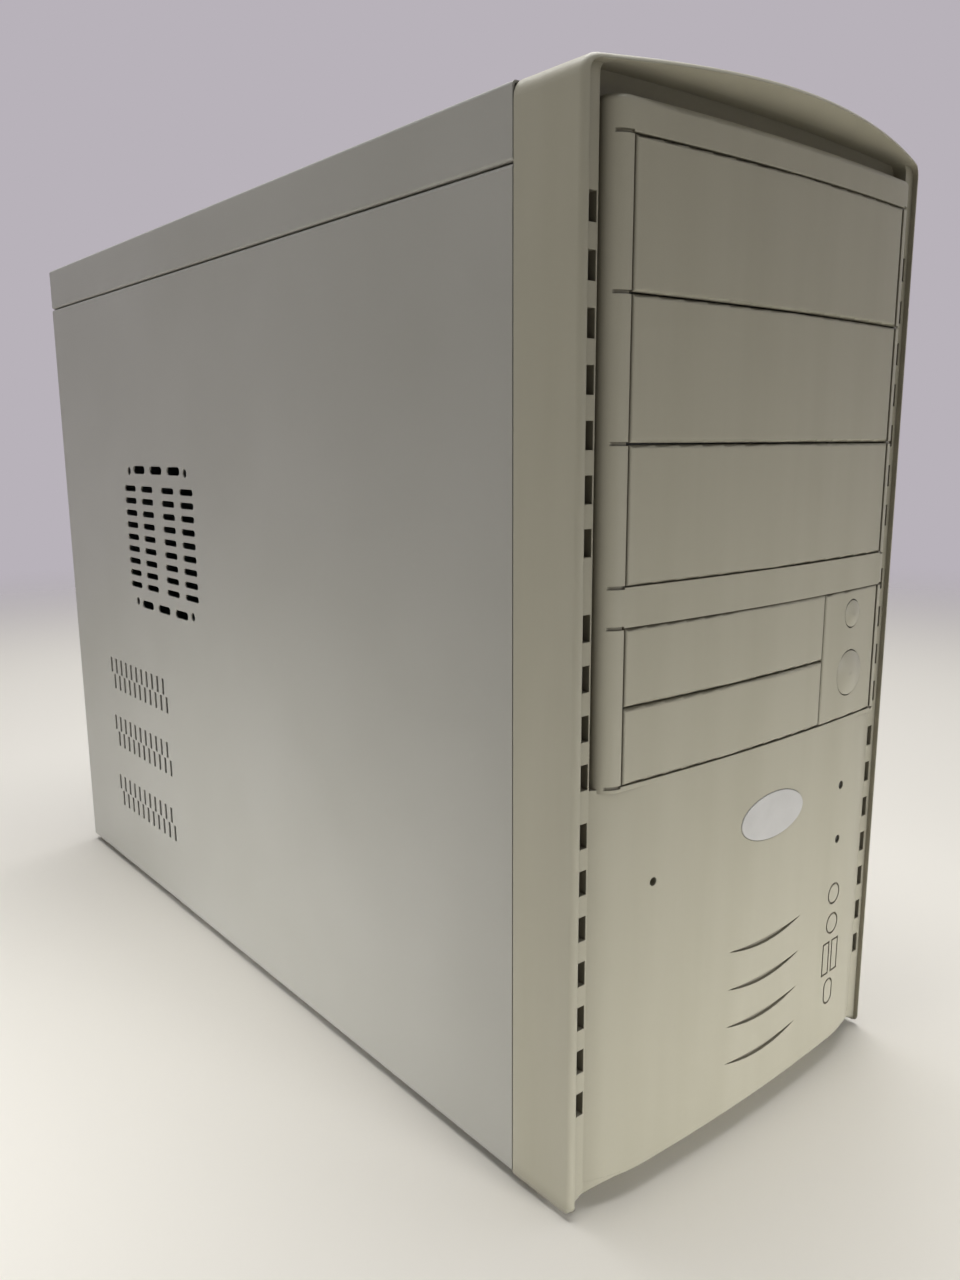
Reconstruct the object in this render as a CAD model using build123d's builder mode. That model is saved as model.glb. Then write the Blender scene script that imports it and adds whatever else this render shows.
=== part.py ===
from build123d import *
import os
from math import radians, sqrt, tan

os.makedirs("parts", exist_ok=True)

# Mini tower computer, lengths in millimetres.
# X is the width, the front faces -Y, Z is up. The origin is on the floor under the middle of the whole box.

# Steel case
case_width = 184.0
case_height = 357.0
case_depth = 418.0
foot_height = 3.0
sheet = 0.8
bend = 1.4
slide_gap = 0.4
cut_over = 3.0
panel_return = 7.0
flange_height = 22.0
plate_setback = 1.0

# Moulded front
bezel_depth = 27.0
bezel_wall = 2.5
bezel_taper = 1.0
bezel_corner = 6.0
bezel_rise = 1.0
bezel_edge = 2.0
visor_reach = 12.7
visor_crown = 4.0
visor_rim = 1.8
rim_width = 3.0
rim_corner = 3.5
strip_depth = 1.0
channel_rise = 0.5
lip_width = 8.6
channel_width = 1.6
channel_depth = 6.0
channel_corner = 3.0
column_radius = 7.3
fascia_step = 4.2
fascia_bow = 3.0
shoulder_share = 0.8
fascia_drop = 8.0
fascia_lift = 6.0
fascia_top_round = 2.2
fascia_bottom_round = 1.8
arch_corner = 5.5
arch_margin = 3.5
notch_height = 8.4
notch_width = 3.2
notch_web = 0.6
notch_pitch = 15.7
notch_count_upper = 7
notch_count_middle = 4
notch_drop_upper = 38.0
notch_drop_middle = 158.0
notch_drop_lower = 15.1
notch_low_margin = 30.0
groove_width = 1.1
groove_depth = 0.9
groove_reach_share = 0.34
hook_width = 12.0
hook_thick = 3.0
hook_lip = 1.2
hook_lip_length = 3.0
hook_inset = 2.5
hook_height_shares = (0.12, 0.5, 0.9)

# Drive bays and their covers
bay_count = 3
bay_pitch = 42.7
bay_drop = 17.9
small_count = 2
small_pitch = 25.4
small_width = 108.0
header_height = 12.5
cover_plate = 2.0
cover_gap = 0.25
cover_side_gap = 0.9
cover_edge = 1.0
cover_skirt = 9.0
cover_rib = 1.6
cover_rib_inset = 3.0
arm_thick = 1.8
arm_hook = 1.4
arm_hook_length = 3.0
arm_margin = 6.0
fit_gap = 0.3
mullion_width = 3.0
mullion_depth = 9.0
mullion_lap = 4.0

# Button panel, buttons and lamps
power_radius = 8.75
power_height = 18.0
reset_radius = 5.2
reset_drop = 9.5
button_proud = 1.0
button_dome = 0.9
button_flange = 1.2
button_flange_thick = 1.5
button_stem = 2.4
button_stem_length = 4.0
button_clear = 0.4
power_travel = 2.2
reset_travel = 1.6
switch_size = 12.0
switch_depth = 6.0
switch_plunger = 3.2
switch_plunger_length = 2.0
switch_board_thick = 1.6
post_radius = 2.2
post_inset = 4.5
lamp_radius = 1.6
lamp_flange = 0.9
lamp_flange_thick = 1.4
lamp_length = 9.0
lamp_boss_wall = 1.5
lamp_boss_length = 5.0
lamp_clear = 0.1
lamp_sink = 0.6
lamp_height_shares = (0.8104, 0.6561)
pin_hole_radius = 1.5
pin_hole_x = -58.8
pin_hole_share = 0.7569

# Badge, crescents and socket outlines on the lower front
badge_width = 38.0
badge_height = 17.6
badge_x = 5.5
badge_share = 0.8104
badge_sink = 0.8
badge_proud = 0.3
badge_clear = 0.2
crescent_count = 4
crescent_pitch_share = 0.1016
crescent_width = 46.0
crescent_first_share = 0.1869
crescent_sag = 1.4
crescent_thick = 2.0
crescent_depth = 1.2
outline_width = 0.8
outline_depth = 1.0
jack_radius = 4.6
jack_height_shares = (0.497, 0.4089)
port_width = 5.4
port_height = 14.5
port_share = 0.3081
port_spacing = 7.0
oblong_width = 7.0
oblong_height = 11.5
oblong_share = 0.2031

# Vents of the left side panel
vent_from_rear = 140.2
vent_lift = 191.8
vent_square = 73.0
vent_rows = 9
vent_row_pitch = 6.6
vent_slot_length = 15.5
vent_slot_height = 3.2
vent_outer_column = 36.0
vent_inner_column = 13.3
vent_end_pitch = 22.0
vent_end_height = 4.2
vent_hole_spacing = 71.5
vent_hole = 2.2
slit_columns = 11
slit_pitch = 7.6
slit_width = 2.6
slit_height = 9.0
slit_row_gap = 9.8
slit_from_rear = 95.0
slit_height_shares = (0.3361, 0.2353, 0.1289)

# Side panel fixings
tab_length = 12.0
tab_height = 4.0
tab_inset = 2.0
tab_slot_clear = 0.6
tab_place_shares = (0.14, 0.5, 0.82)
panel_travel = 18.0
rear_flange = 15.0
screw_radius = 1.6
screw_hole_clear = 0.25
screw_length = 5.0
thumb_radius = 5.0
thumb_head_length = 8.0
thumb_waist = 0.8
thumb_inset = 11.8
thumb_margin = 46.0

# Chassis inside the panels
base_flange = 9.0
plate_flange = 12.0
foot_radius = 9.0
foot_taper = 1.2
foot_peg = 2.8
foot_peg_rise = 1.6
foot_inset_x = 24.0
foot_inset_y = 46.0
bead_width = 8.0
bead_height = 1.6
bead_inset = 44.0
bead_margin = 30.0
opening_margin = 1.0
intake_rows = 8
intake_pitch = 8.0
intake_slot_width = 56.0
intake_slot_height = 4.0
intake_lift = 66.0
intake_x = -48.0
lead_hole_width = 18.0
lead_hole_height = 30.0
hook_hole_clear = 0.4
cage_width = 147.0
cage_length = 150.0
cage_floor_drop = 1.0
rail_depth = 3.0
rail_length = 14.0
rail_thick = 0.8
rail_place_shares = (0.2, 0.7)
drive_slot_length = 16.0
drive_slot_height = 3.6
drive_slot_lift = 10.0
small_cage_width = 102.4
small_cage_length = 132.0
small_cage_lug = 6.0
tray_flange = 4.5
tray_length = 262.0
tray_overlap = 6.0
rear_vent_x = -68.0
rear_vent_rows = 8
rear_vent_pitch = 7.2
rear_vent_slot = 3.2
rear_vent_length = 20.0

# Power supply
psu_width = 150.0
psu_height = 85.0
psu_depth = 140.0
psu_roof_gap = 4.5
psu_opening_inset = 2.5
psu_ear = 7.5
psu_screw_inset = 6.0
psu_vent_rows = 6
psu_vent_pitch = 9.0
psu_vent_length = 60.0
psu_vent_height = 3.5
psu_fan_x = -23.0
psu_fan_size = 80.0
psu_fan_depth = 25.0
fan_wall = 2.0
fan_hole_radius = 2.2
fan_mount_depth = 4.0
fan_strut = 5.0
fan_strut_count = 4
fan_blade_count = 7
fan_blade_thick = 1.6
fan_blade_lean = 38.0
fan_tip_gap = 1.2
fan_run_gap = 0.5
fan_hub_share = 0.42
fan_shaft_radius = 1.5
fan_shaft_clear = 0.05
grille_wire = 1.5
grille_rings = 4
grille_eye = 3.6
psu_column_x = 40.0
inlet_width = 30.0
inlet_height = 24.0
inlet_flange = 2.0
inlet_body_inset = 1.6
inlet_depth = 18.0
inlet_socket_width = 24.0
inlet_socket_height = 16.4
inlet_socket_chamfer = 4.0
inlet_socket_depth = 14.0
inlet_pin_width = 4.0
inlet_pin_thick = 2.0
inlet_pin_length = 11.0
inlet_pin_spread = 7.0
inlet_pin_offset = 2.0
inlet_drop = 17.0
rocker_width = 21.0
rocker_height = 15.0
rocker_flange = 1.6
rocker_rim = 2.2
rocker_depth = 14.0
rocker_rise = 20.0
rocker_clear = 0.35
rocker_pivot = 1.2
rocker_proud = 2.0
rocker_tilt = 9.0

# Case screws
case_screw_head = 3.6
case_screw_head_height = 2.4
case_screw_length = 4.0

# Motherboard and what stands on it
board_size = 244.0
board_thick = 1.6
board_lift = 13.0
board_rear_gap = 3.0
board_hole_row_shares = (0.07, 0.5, 0.96)
board_hole_column_shares = (0.135, 0.5, 0.95)
standoff_length = 6.5
standoff_flat = 2.6
board_screw_radius = 1.5
board_screw_head = 3.2
board_screw_head_height = 2.0
socket_size = 52.0
socket_height = 5.0
socket_rim = 2.0
socket_recess = 2.0
processor_size = 46.0
processor_base = 1.6
processor_cap = 34.0
processor_cap_height = 2.2
heatsink_length = 70.0
heatsink_width = 66.0
heatsink_base = 7.0
heatsink_height = 34.0
heatsink_fins = 15
heatsink_fin_thick = 1.4
cpu_fan_size = 60.0
cpu_fan_depth = 20.0
memory_count = 2
memory_pitch = 12.0
memory_from_front = 22.0
memory_length = 140.0
memory_width = 7.4
memory_height = 9.0
memory_latch = 6.0
memory_latch_rise = 9.0
memory_from_top = 8.0
module_length = 127.0
module_height = 30.0
module_thick = 1.4
module_sink = 5.0
module_clear = 0.05
chip_count = 8
chip_width = 9.0
chip_height = 17.0
chip_thick = 1.1
chip_lift = 9.0
slot_count = 4
slot_pitch = 20.32
slot_length = 84.0
slot_width = 8.4
slot_height = 11.0
slot_key = 2.0
slot_key_depth = 7.0
slot_key_margin = 4.0
slot_from_rear = 16.0
chipset_from_front = 89.0
chipset_lift = 115.0
chipset_size = 38.0
chipset_height = 14.0
chipset_base = 3.0
chipset_fins = 8
chipset_fin_thick = 1.6
capacitor_radius = 4.0
capacitor_height = 13.0
capacitor_pitch = 13.0
capacitor_from_rear = 64.0
capacitor_from_top = 40.0
power_socket_length = 51.0
power_socket_width = 9.6
power_socket_height = 12.0
power_socket_wall = 1.2
power_socket_from_front = 48.0
power_socket_from_top = 33.0
disk_socket_length = 57.0
disk_socket_width = 8.8
disk_socket_height = 9.0
disk_socket_wall = 1.2
disk_socket_from_front = 9.0
disk_socket_pitch = 15.0
disk_socket_lift = 54.0

# Rear sockets and the shield round them
aperture_length = 158.8
aperture_width = 44.5
aperture_drop = 5.2
aperture_behind = 2.0
shield_thick = 0.5
shield_margin = 2.0
shield_clear = 0.25
socket_proud = 1.0
keyboard_width = 14.0
keyboard_height = 26.5
keyboard_depth = 17.0
keyboard_from_top = 10.0
keyboard_hole = 4.6
keyboard_hole_depth = 9.0
usb_width = 14.6
usb_height = 16.0
usb_depth = 18.0
usb_wall = 0.8
usb_tongue = 2.0
usb_first = 28.5
usb_second = 112.0
dsub_flange_width = 30.8
dsub_flange_height = 12.0
dsub_flange_thick = 1.2
dsub_shell_width = 17.0
dsub_shell_height = 8.4
dsub_shell_angle = 80.0
dsub_shell_length = 6.0
dsub_depth = 13.0
dsub_gap = 0.8
parallel_width = 53.0
parallel_shell_width = 39.0
parallel_leg = 4.0
dsub_centre = 69.0
jack_width = 12.0
jack_height = 12.4
jack_depth = 14.0
jack_bore = 1.8
jack_collar = 4.2
jack_pitch = 12.6
jack_first = 127.5
jack_count = 3
bracket_height = 18.4
bracket_length = 118.0
bracket_thick = 0.9
bracket_inset = 2.0
slot_opening_height = 12.6
slot_opening_length = 98.0
slot_first_drop = 12.0

# Hard drive
drive_width = 101.6
drive_length = 146.0
drive_height = 25.4
drive_gap = 5.0
drive_setback = 4.0
drive_chamfer = 1.6
drive_lid_inset = 4.0
drive_lid_step = 0.8
drive_plug_length = 55.0
drive_plug_height = 9.0
drive_plug_depth = 8.0
drive_power_length = 21.0
drive_plug_gap = 4.0
drive_plug_lift = 6.0

# Cables inside the case
data_cable_radius = 4.0
main_cable_radius = 5.0
drive_cable_radius = 3.0
plug_thick = 7.0
plug_clear = 0.3
plug_sink = 2.0
bend_share = 0.45
data_steps_out = ((0.0, 22.0, 0.0), (22.0, 40.0, -24.0))
data_steps_in = ((-44.5, 14.8, 12.0), (-24.0, 0.0, 0.0))
main_steps_out = ((0.0, -20.0, 0.0), (-18.0, -45.0, -12.0))
main_steps_in = ((-24.0, 0.0, 26.0), (-24.0, 0.0, 0.0))
drive_steps_out = ((0.0, -26.0, 0.0), (-8.0, -52.0, -26.0), (-15.0, -70.0, -70.0))
drive_steps_in = ((-6.0, 47.0, 40.0), (0.0, 28.0, 0.0))

# Datums worked out from the sizes above
overall_depth = visor_reach + bezel_depth + case_depth + thumb_head_length
visor_y = -overall_depth / 2
lip_y = visor_y + visor_reach
channel_y = lip_y + channel_depth
seam_y = lip_y + bezel_depth
rear_y = seam_y + case_depth
side_x = case_width / 2
bottom_z = foot_height
top_z = bottom_z + case_height
bezel_top = top_z + bezel_rise
strip_y = lip_y + strip_depth
rim_inner = side_x - rim_width
lip_inner = side_x - lip_width
fascia_half = lip_inner - channel_width
fascia_y = lip_y - fascia_step
fascia_low = bottom_z + fascia_lift
fascia_top = top_z - fascia_drop
bay_half = fascia_half - column_radius
bay_top = top_z - bay_drop
bay_low = bay_top - bay_count * bay_pitch
small_top = bay_low - header_height
small_low = small_top - small_count * small_pitch
lower_height = small_low - bottom_z
small_right = small_width - bay_half
bow_radius = (bay_half**2 + fascia_bow**2) / (2 * fascia_bow)
flange_low = top_z - flange_height
panel_top = flange_low - slide_gap
chassis_half = side_x - sheet - panel_return - 2 * slide_gap
floor_half = side_x - sheet - slide_gap
floor_z = bottom_z + sheet + slide_gap
front_plate_y = seam_y + plate_setback
front_back_y = front_plate_y + sheet
rear_face_y = rear_y - sheet - slide_gap
rear_inner_y = rear_face_y - sheet
roof_z = top_z - sheet


def save(builder, name):
    """Label a finished piece and write it as its own file."""
    builder.part.label = name
    export_step(builder.part, f"parts/{name}.step")


def block(xs, ys, zs, mode=Mode.ADD):
    """Add or cut a block that fills the three given spans."""
    with Locations(((xs[0] + xs[1]) / 2, (ys[0] + ys[1]) / 2, (zs[0] + zs[1]) / 2)):
        Box(xs[1] - xs[0], ys[1] - ys[0], zs[1] - zs[0], mode=mode)


def rod(axis, a, b, span, radius, mode=Mode.ADD):
    """Add or cut a round rod along X, Y or Z: a and b place its centre line, span gives its two ends."""
    mid = (span[0] + span[1]) / 2
    centre = {"X": (mid, a, b), "Y": (a, mid, b), "Z": (a, b, mid)}[axis]
    turn = {"X": (0, 90, 0), "Y": (90, 0, 0), "Z": (0, 0, 0)}[axis]
    with Locations(centre):
        Cylinder(radius, span[1] - span[0], rotation=turn, mode=mode)


def bow(x):
    """Y of the bowed fascia front at a given x."""
    return fascia_y - fascia_bow + bow_radius - sqrt(bow_radius**2 - x**2)


def crown_at(y):
    """Rise of the visor's crown at a given y: full at the visor's front, nothing at the seam."""
    return visor_crown * (seam_y - y) / (seam_y - visor_y)


def crowned_outline(y, half, low, high, crown, corner):
    """Front-view outline with straight sides, rounded top corners and a crowned or flat top edge."""
    with BuildSketch(Plane.XZ.offset(-y)) as outline:
        with BuildLine():
            Line((-half, low), (half, low))
            Line((half, low), (half, high - corner))
            CenterArc((half - corner, high - corner), corner, 0, 90)
            if crown > 0:
                ThreePointArc((half - corner, high), (0, high + crown), (corner - half, high))
            else:
                Line((half - corner, high), (corner - half, high))
            CenterArc((corner - half, high - corner), corner, 90, 90)
            Line((-half, high - corner), (-half, low))
        make_face()
    return outline.sketch


def fascia_plan(z, inset, back):
    """Plan of the fascia drawn in by inset: two rounded columns joined by the bowed front."""
    half = fascia_half - inset
    front = fascia_y + inset
    radius = column_radius - inset
    with BuildSketch(Plane.XY.offset(z)) as plan:
        with BuildLine():
            Line((-half, back), (-half, front + radius))
            CenterArc((radius - half, front + radius), radius, 180, 90)
            ThreePointArc((radius - half, front), (0, front - fascia_bow), (half - radius, front))
            CenterArc((half - radius, front + radius), radius, 270, 90)
            Line((half, front + radius), (half, back))
            Line((half, back), (-half, back))
        make_face()
    return plan.sketch


def lower_plan(z, back):
    """Plan of the lower front: the fascia's bow, with a rounded shoulder on each side that ends at the lip."""
    start_x = bay_half * shoulder_share
    start_y = bow(start_x)
    slope = start_x / sqrt(bow_radius**2 - start_x**2)
    with BuildSketch(Plane.XY.offset(z)) as plan:
        with BuildLine():
            Polyline((-lip_inner - notch_web, back), (-lip_inner - notch_web, channel_y), (-lip_inner, strip_y))
            TangentArc((-start_x, start_y), (-lip_inner, strip_y), tangent=(-1, slope))
            ThreePointArc((-start_x, start_y), (0, fascia_y - fascia_bow), (start_x, start_y))
            TangentArc((start_x, start_y), (lip_inner, strip_y), tangent=(1, slope))
            Polyline((lip_inner, strip_y), (lip_inner + notch_web, channel_y), (lip_inner + notch_web, back))
            Line((lip_inner + notch_web, back), (-lip_inner - notch_web, back))
        make_face()
    return plan.sketch


def bowed_strip(z, x0, x1, front_shift, back_shift):
    """Plan of a plate between two x places whose front and back both follow the fascia's bow."""
    mid = (x0 + x1) / 2
    with BuildSketch(Plane.XY.offset(z)) as plan:
        with BuildLine():
            ThreePointArc(*[(x, bow(x) + front_shift) for x in (x0, mid, x1)])
            Line((x1, bow(x1) + front_shift), (x1, bow(x1) + back_shift))
            ThreePointArc(*[(x, bow(x) + back_shift) for x in (x1, mid, x0)])
            Line((x0, bow(x0) + back_shift), (x0, bow(x0) + front_shift))
        make_face()
    return plan.sketch


def bent_sheet(plane, points, side):
    """Cross-section of a folded sheet: a rounded path on the outside, thickened to one side."""
    with BuildSketch(plane) as section:
        with BuildLine():
            FilletPolyline(*points, radius=bend)
            offset(amount=sheet, side=side)
        make_face()
    return section.sketch


# Front bezel: one moulding with the visor, notched side lips, raised bowed fascia and lower front
power_x = (small_right + bay_half) / 2
power_z = small_low + power_height
reset_z = small_top - reset_drop
lamp_places = [(power_x, bottom_z + lower_height * share) for share in lamp_height_shares]
notch_count_lower = int((lower_height - notch_drop_lower - notch_low_margin) / notch_pitch) + 1
notch_rows = [
    (top_z - notch_drop_upper, notch_count_upper),
    (top_z - notch_drop_middle, notch_count_middle),
    (small_low - notch_drop_lower, notch_count_lower),
]
hook_x = fascia_half - hook_inset
hook_zs = [bottom_z + case_height * share for share in hook_height_shares]
line_zs = [bay_top - i * bay_pitch for i in range(bay_count + 1)] + [small_top, small_low]
wall_back_y = channel_y + bezel_wall

lower_top = small_low - groove_width / 2

with BuildPart() as fascia_form:
    extrude(fascia_plan(lower_top - groove_width, 0, wall_back_y), amount=fascia_top - lower_top + groove_width)
    front_edges = fascia_form.edges().filter_by_position(Axis.Y, visor_y, wall_back_y - bezel_wall / 2)
    fillet(front_edges.group_by(Axis.Z)[-1], fascia_top_round)

with BuildPart() as lower_form:
    extrude(lower_plan(fascia_low, wall_back_y), amount=lower_top - fascia_low)
    low_edges = lower_form.edges().filter_by_position(Axis.Y, visor_y, strip_y)
    fillet(low_edges.group_by(Axis.Z)[0], fascia_bottom_round)

with BuildPart() as groove_form:
    for z in line_zs:
        extrude(fascia_plan(z - groove_width / 2, 0, channel_y), amount=groove_width)
        extrude(fascia_plan(z - groove_width / 2, groove_depth, channel_y), amount=groove_width, mode=Mode.SUBTRACT)
    block(
        (-bay_half, bay_half),
        (visor_y, channel_y + cut_over),
        (bottom_z, top_z),
        Mode.SUBTRACT,
    )
    block(
        (-side_x, side_x),
        (fascia_y + column_radius * groove_reach_share, channel_y + cut_over),
        (bottom_z, top_z),
        Mode.SUBTRACT,
    )

with BuildPart() as front_bezel:
    loft(
        [
            crowned_outline(seam_y, side_x, bottom_z, bezel_top, 0, bezel_corner),
            crowned_outline(visor_y, side_x - bezel_taper, bottom_z, bezel_top, visor_crown, bezel_corner),
        ],
        ruled=True,
    )
    with BuildSketch(Plane.XY) as visor_trim:
        with BuildLine():
            ThreePointArc((-side_x, lip_y), (0, visor_y), (side_x, lip_y))
            Polyline(
                (side_x, lip_y),
                (side_x + cut_over, lip_y),
                (side_x + cut_over, visor_y - cut_over),
                (-side_x - cut_over, visor_y - cut_over),
                (-side_x - cut_over, lip_y),
                (-side_x, lip_y),
            )
        make_face()
    extrude(visor_trim.sketch, amount=bezel_top + visor_crown + cut_over, mode=Mode.SUBTRACT)
    outer_edges = front_bezel.edges().filter_by(lambda e: e.length > side_x)
    fillet(outer_edges.filter_by_position(Axis.Y, visor_y, lip_y + bezel_edge), bezel_edge)
    rim_top = bezel_top - visor_rim
    loft(
        [
            crowned_outline(y, rim_inner, bottom_z - cut_over, rim_top, crown_at(y), rim_corner)
            for y in (visor_y - cut_over, strip_y)
        ],
        ruled=True,
        mode=Mode.SUBTRACT,
    )
    extrude(
        crowned_outline(
            channel_y, lip_inner, bottom_z - cut_over, rim_top + channel_rise, crown_at(channel_y), channel_corner
        ),
        amount=channel_y - visor_y,
        mode=Mode.SUBTRACT,
    )
    add(fascia_form.part)
    add(lower_form.part)
    extrude(
        crowned_outline(
            seam_y + cut_over, side_x - arch_margin, bottom_z - cut_over, fascia_low, 0, arch_corner
        ),
        amount=seam_y - visor_y + 2 * cut_over,
        mode=Mode.SUBTRACT,
    )
    extrude(
        crowned_outline(
            seam_y + cut_over, side_x - bezel_wall, fascia_low + bezel_wall, bezel_top - bezel_wall, 0, bezel_corner
        ),
        amount=seam_y + cut_over - wall_back_y,
        mode=Mode.SUBTRACT,
    )
    extrude(
        fascia_plan(fascia_low + bezel_wall, bezel_wall, wall_back_y + cut_over),
        amount=fascia_top - fascia_low - 2 * bezel_wall,
        mode=Mode.SUBTRACT,
    )
    for zs in ((bay_low, bay_top), (small_low, small_top)):
        block((-bay_half, bay_half), (visor_y, channel_y), zs, Mode.SUBTRACT)
    mullion_front = bow(small_right) + cover_plate + fit_gap
    block(
        (small_right - mullion_width / 2, small_right + mullion_width / 2),
        (mullion_front, mullion_front + mullion_depth),
        (small_low - mullion_lap, small_top + mullion_lap),
    )
    add(groove_form.part, mode=Mode.SUBTRACT)
    for side in (-1, 1):
        for first_z, count in notch_rows:
            for i in range(count):
                notch_x = side * (lip_inner + notch_web + notch_width / 2)
                notch_z = first_z - i * notch_pitch
                block(
                    (notch_x - notch_width / 2, notch_x + notch_width / 2),
                    (visor_y, wall_back_y + cut_over),
                    (notch_z - notch_height / 2, notch_z + notch_height / 2),
                    Mode.SUBTRACT,
                )
        for z in hook_zs:
            hook_end = front_back_y + slide_gap + hook_lip_length
            block(
                (side * hook_x - hook_thick / 2, side * hook_x + hook_thick / 2),
                (wall_back_y - bezel_wall / 2, hook_end),
                (z - hook_width / 2, z + hook_width / 2),
            )
            block(
                sorted((side * (hook_x - hook_thick / 2 - hook_lip), side * (hook_x + hook_thick / 2))),
                (hook_end - hook_lip_length, hook_end),
                (z - hook_width / 2, z + hook_width / 2),
            )
    for x, z in lamp_places:
        boss_start = bow(x) + bezel_wall / 2
        rod("Y", x, z, (boss_start, boss_start + lamp_boss_length), lamp_radius + lamp_clear + lamp_boss_wall)
        rod("Y", x, z, (visor_y, boss_start + lamp_boss_length), lamp_radius + lamp_clear, Mode.SUBTRACT)
    rod("Y", pin_hole_x, bottom_z + lower_height * pin_hole_share, (visor_y, channel_y), pin_hole_radius, Mode.SUBTRACT)
    with BuildSketch(Plane.XZ.offset(-(bow(badge_x) + badge_sink))) as badge_pocket:
        with Locations((badge_x, bottom_z + lower_height * badge_share)):
            Ellipse(badge_width / 2 + badge_clear, badge_height / 2 + badge_clear)
    extrude(badge_pocket.sketch, amount=badge_sink + fascia_bow, mode=Mode.SUBTRACT)
    for i in range(crescent_count):
        crescent_z = bottom_z + lower_height * (crescent_first_share + i * crescent_pitch_share)
        with BuildSketch(Plane.XZ.offset(-(bow(badge_x) + crescent_depth))) as crescent:
            with BuildLine():
                left = (badge_x - crescent_width / 2, crescent_z)
                right = (badge_x + crescent_width / 2, crescent_z)
                ThreePointArc(left, (badge_x, crescent_z - crescent_sag), right)
                ThreePointArc(right, (badge_x, crescent_z - crescent_sag - crescent_thick), left)
            make_face()
        extrude(crescent.sketch, amount=crescent_depth + fascia_bow, mode=Mode.SUBTRACT)
    with BuildSketch(Plane.XZ.offset(-(bow(power_x) + outline_depth))) as socket_outlines:
        for share in jack_height_shares:
            with Locations((power_x, bottom_z + lower_height * share)):
                Circle(jack_radius)
                Circle(jack_radius - outline_width, mode=Mode.SUBTRACT)
        for shift in (-port_spacing / 2, port_spacing / 2):
            with Locations((power_x + shift, bottom_z + lower_height * port_share)):
                Rectangle(port_width, port_height)
                Rectangle(port_width - 2 * outline_width, port_height - 2 * outline_width, mode=Mode.SUBTRACT)
        with Locations((power_x, bottom_z + lower_height * oblong_share)):
            SlotOverall(oblong_height, oblong_width, rotation=90)
            SlotOverall(
                oblong_height - 2 * outline_width,
                oblong_width - 2 * outline_width,
                rotation=90,
                mode=Mode.SUBTRACT,
            )
    extrude(socket_outlines.sketch, amount=outline_depth + fascia_bow, mode=Mode.SUBTRACT)
save(front_bezel, "front_bezel")


# Bay covers: bowed plates with a skirt behind and a springy clip arm at each end
def clip_arm(x, out, start_y, hook_y, zs):
    """A springy arm behind a cover, whose hook grips outwards behind the edge of the opening."""
    block(sorted((x, x - out * arm_thick)), (start_y, hook_y + arm_hook_length), zs)
    block(sorted((x - out * arm_thick, x + out * arm_hook)), (hook_y, hook_y + arm_hook_length), zs)


column_hook_y = fascia_y + bezel_wall + 2 * fit_gap
mullion_hook_y = mullion_front + mullion_depth + fit_gap


def bay_cover(x0, x1, z0, z1, right_arm_x, right_hook_y):
    """One blank cover between two x and two z places, with its edges rounded."""
    with BuildPart() as cover:
        extrude(bowed_strip(z0, x0, x1, 0, cover_plate), amount=z1 - z0)
        fillet(cover.faces().sort_by(Axis.Y)[0].edges(), cover_edge)
        for z in (z0 + cover_rib_inset, z1 - cover_rib_inset - cover_rib):
            skirt = bowed_strip(z, x0 + arm_margin, x1 - arm_margin, cover_plate / 2, cover_skirt)
            extrude(skirt, amount=cover_rib)
        arm_zs = (z0 + arm_margin, z1 - arm_margin)
        clip_arm(x0, -1, bow(x0) + cover_plate / 2, column_hook_y, arm_zs)
        clip_arm(right_arm_x, 1, bow(right_arm_x) + cover_plate / 2, right_hook_y, arm_zs)
    return cover


for i, name in enumerate(("bay_cover_top", "bay_cover_middle", "bay_cover_bottom")):
    low = bay_top - (i + 1) * bay_pitch + cover_gap
    end = bay_half - cover_side_gap
    save(bay_cover(-end, end, low, low + bay_pitch - 2 * cover_gap, end, column_hook_y), name)

for i, name in enumerate(("small_cover_upper", "small_cover_lower")):
    low = small_top - (i + 1) * small_pitch + cover_gap
    small_cover = bay_cover(
        cover_side_gap - bay_half,
        small_right - cover_gap,
        low,
        low + small_pitch - 2 * cover_gap,
        small_right - mullion_width / 2 - fit_gap,
        mullion_hook_y,
    )
    save(small_cover, name)

# Button panel: bowed plate with two bores, a clip arm on each side and four posts for the switch board
panel_x0 = small_right + cover_gap
panel_x1 = bay_half - cover_side_gap
panel_z0 = small_low + cover_gap
panel_z1 = small_top - cover_gap
panel_back_y = fascia_y + cover_plate
button_flange_y = panel_back_y + fit_gap
button_back_y = button_flange_y + button_flange_thick
plunger_y = button_back_y + button_stem_length + power_travel + fit_gap
switch_y = plunger_y + switch_plunger_length
switch_board_y = switch_y + switch_depth
post_xs = (panel_x0 + post_inset + arm_thick, panel_x1 - post_inset)
post_zs = (panel_z0 + post_inset, panel_z1 - post_inset)

with BuildPart() as button_panel:
    extrude(bowed_strip(panel_z0, panel_x0, panel_x1, 0, cover_plate), amount=panel_z1 - panel_z0)
    fillet(button_panel.faces().sort_by(Axis.Y)[0].edges(), cover_edge)
    for z, radius in ((power_z, power_radius), (reset_z, reset_radius)):
        rod("Y", power_x, z, (visor_y, channel_y), radius + button_clear, Mode.SUBTRACT)
    for x in post_xs:
        for z in post_zs:
            rod("Y", x, z, (bow(x) + cover_plate / 2, switch_board_y), post_radius)
    panel_arm_zs = (panel_z0 + 2 * post_inset, panel_z1 - 2 * post_inset)
    panel_arm_x = small_right + mullion_width / 2 + fit_gap
    clip_arm(panel_arm_x, -1, bow(panel_arm_x) + cover_plate / 2, mullion_hook_y, panel_arm_zs)
    clip_arm(panel_x1, 1, bow(panel_x1) + cover_plate / 2, column_hook_y, panel_arm_zs)
save(button_panel, "button_panel")


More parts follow.
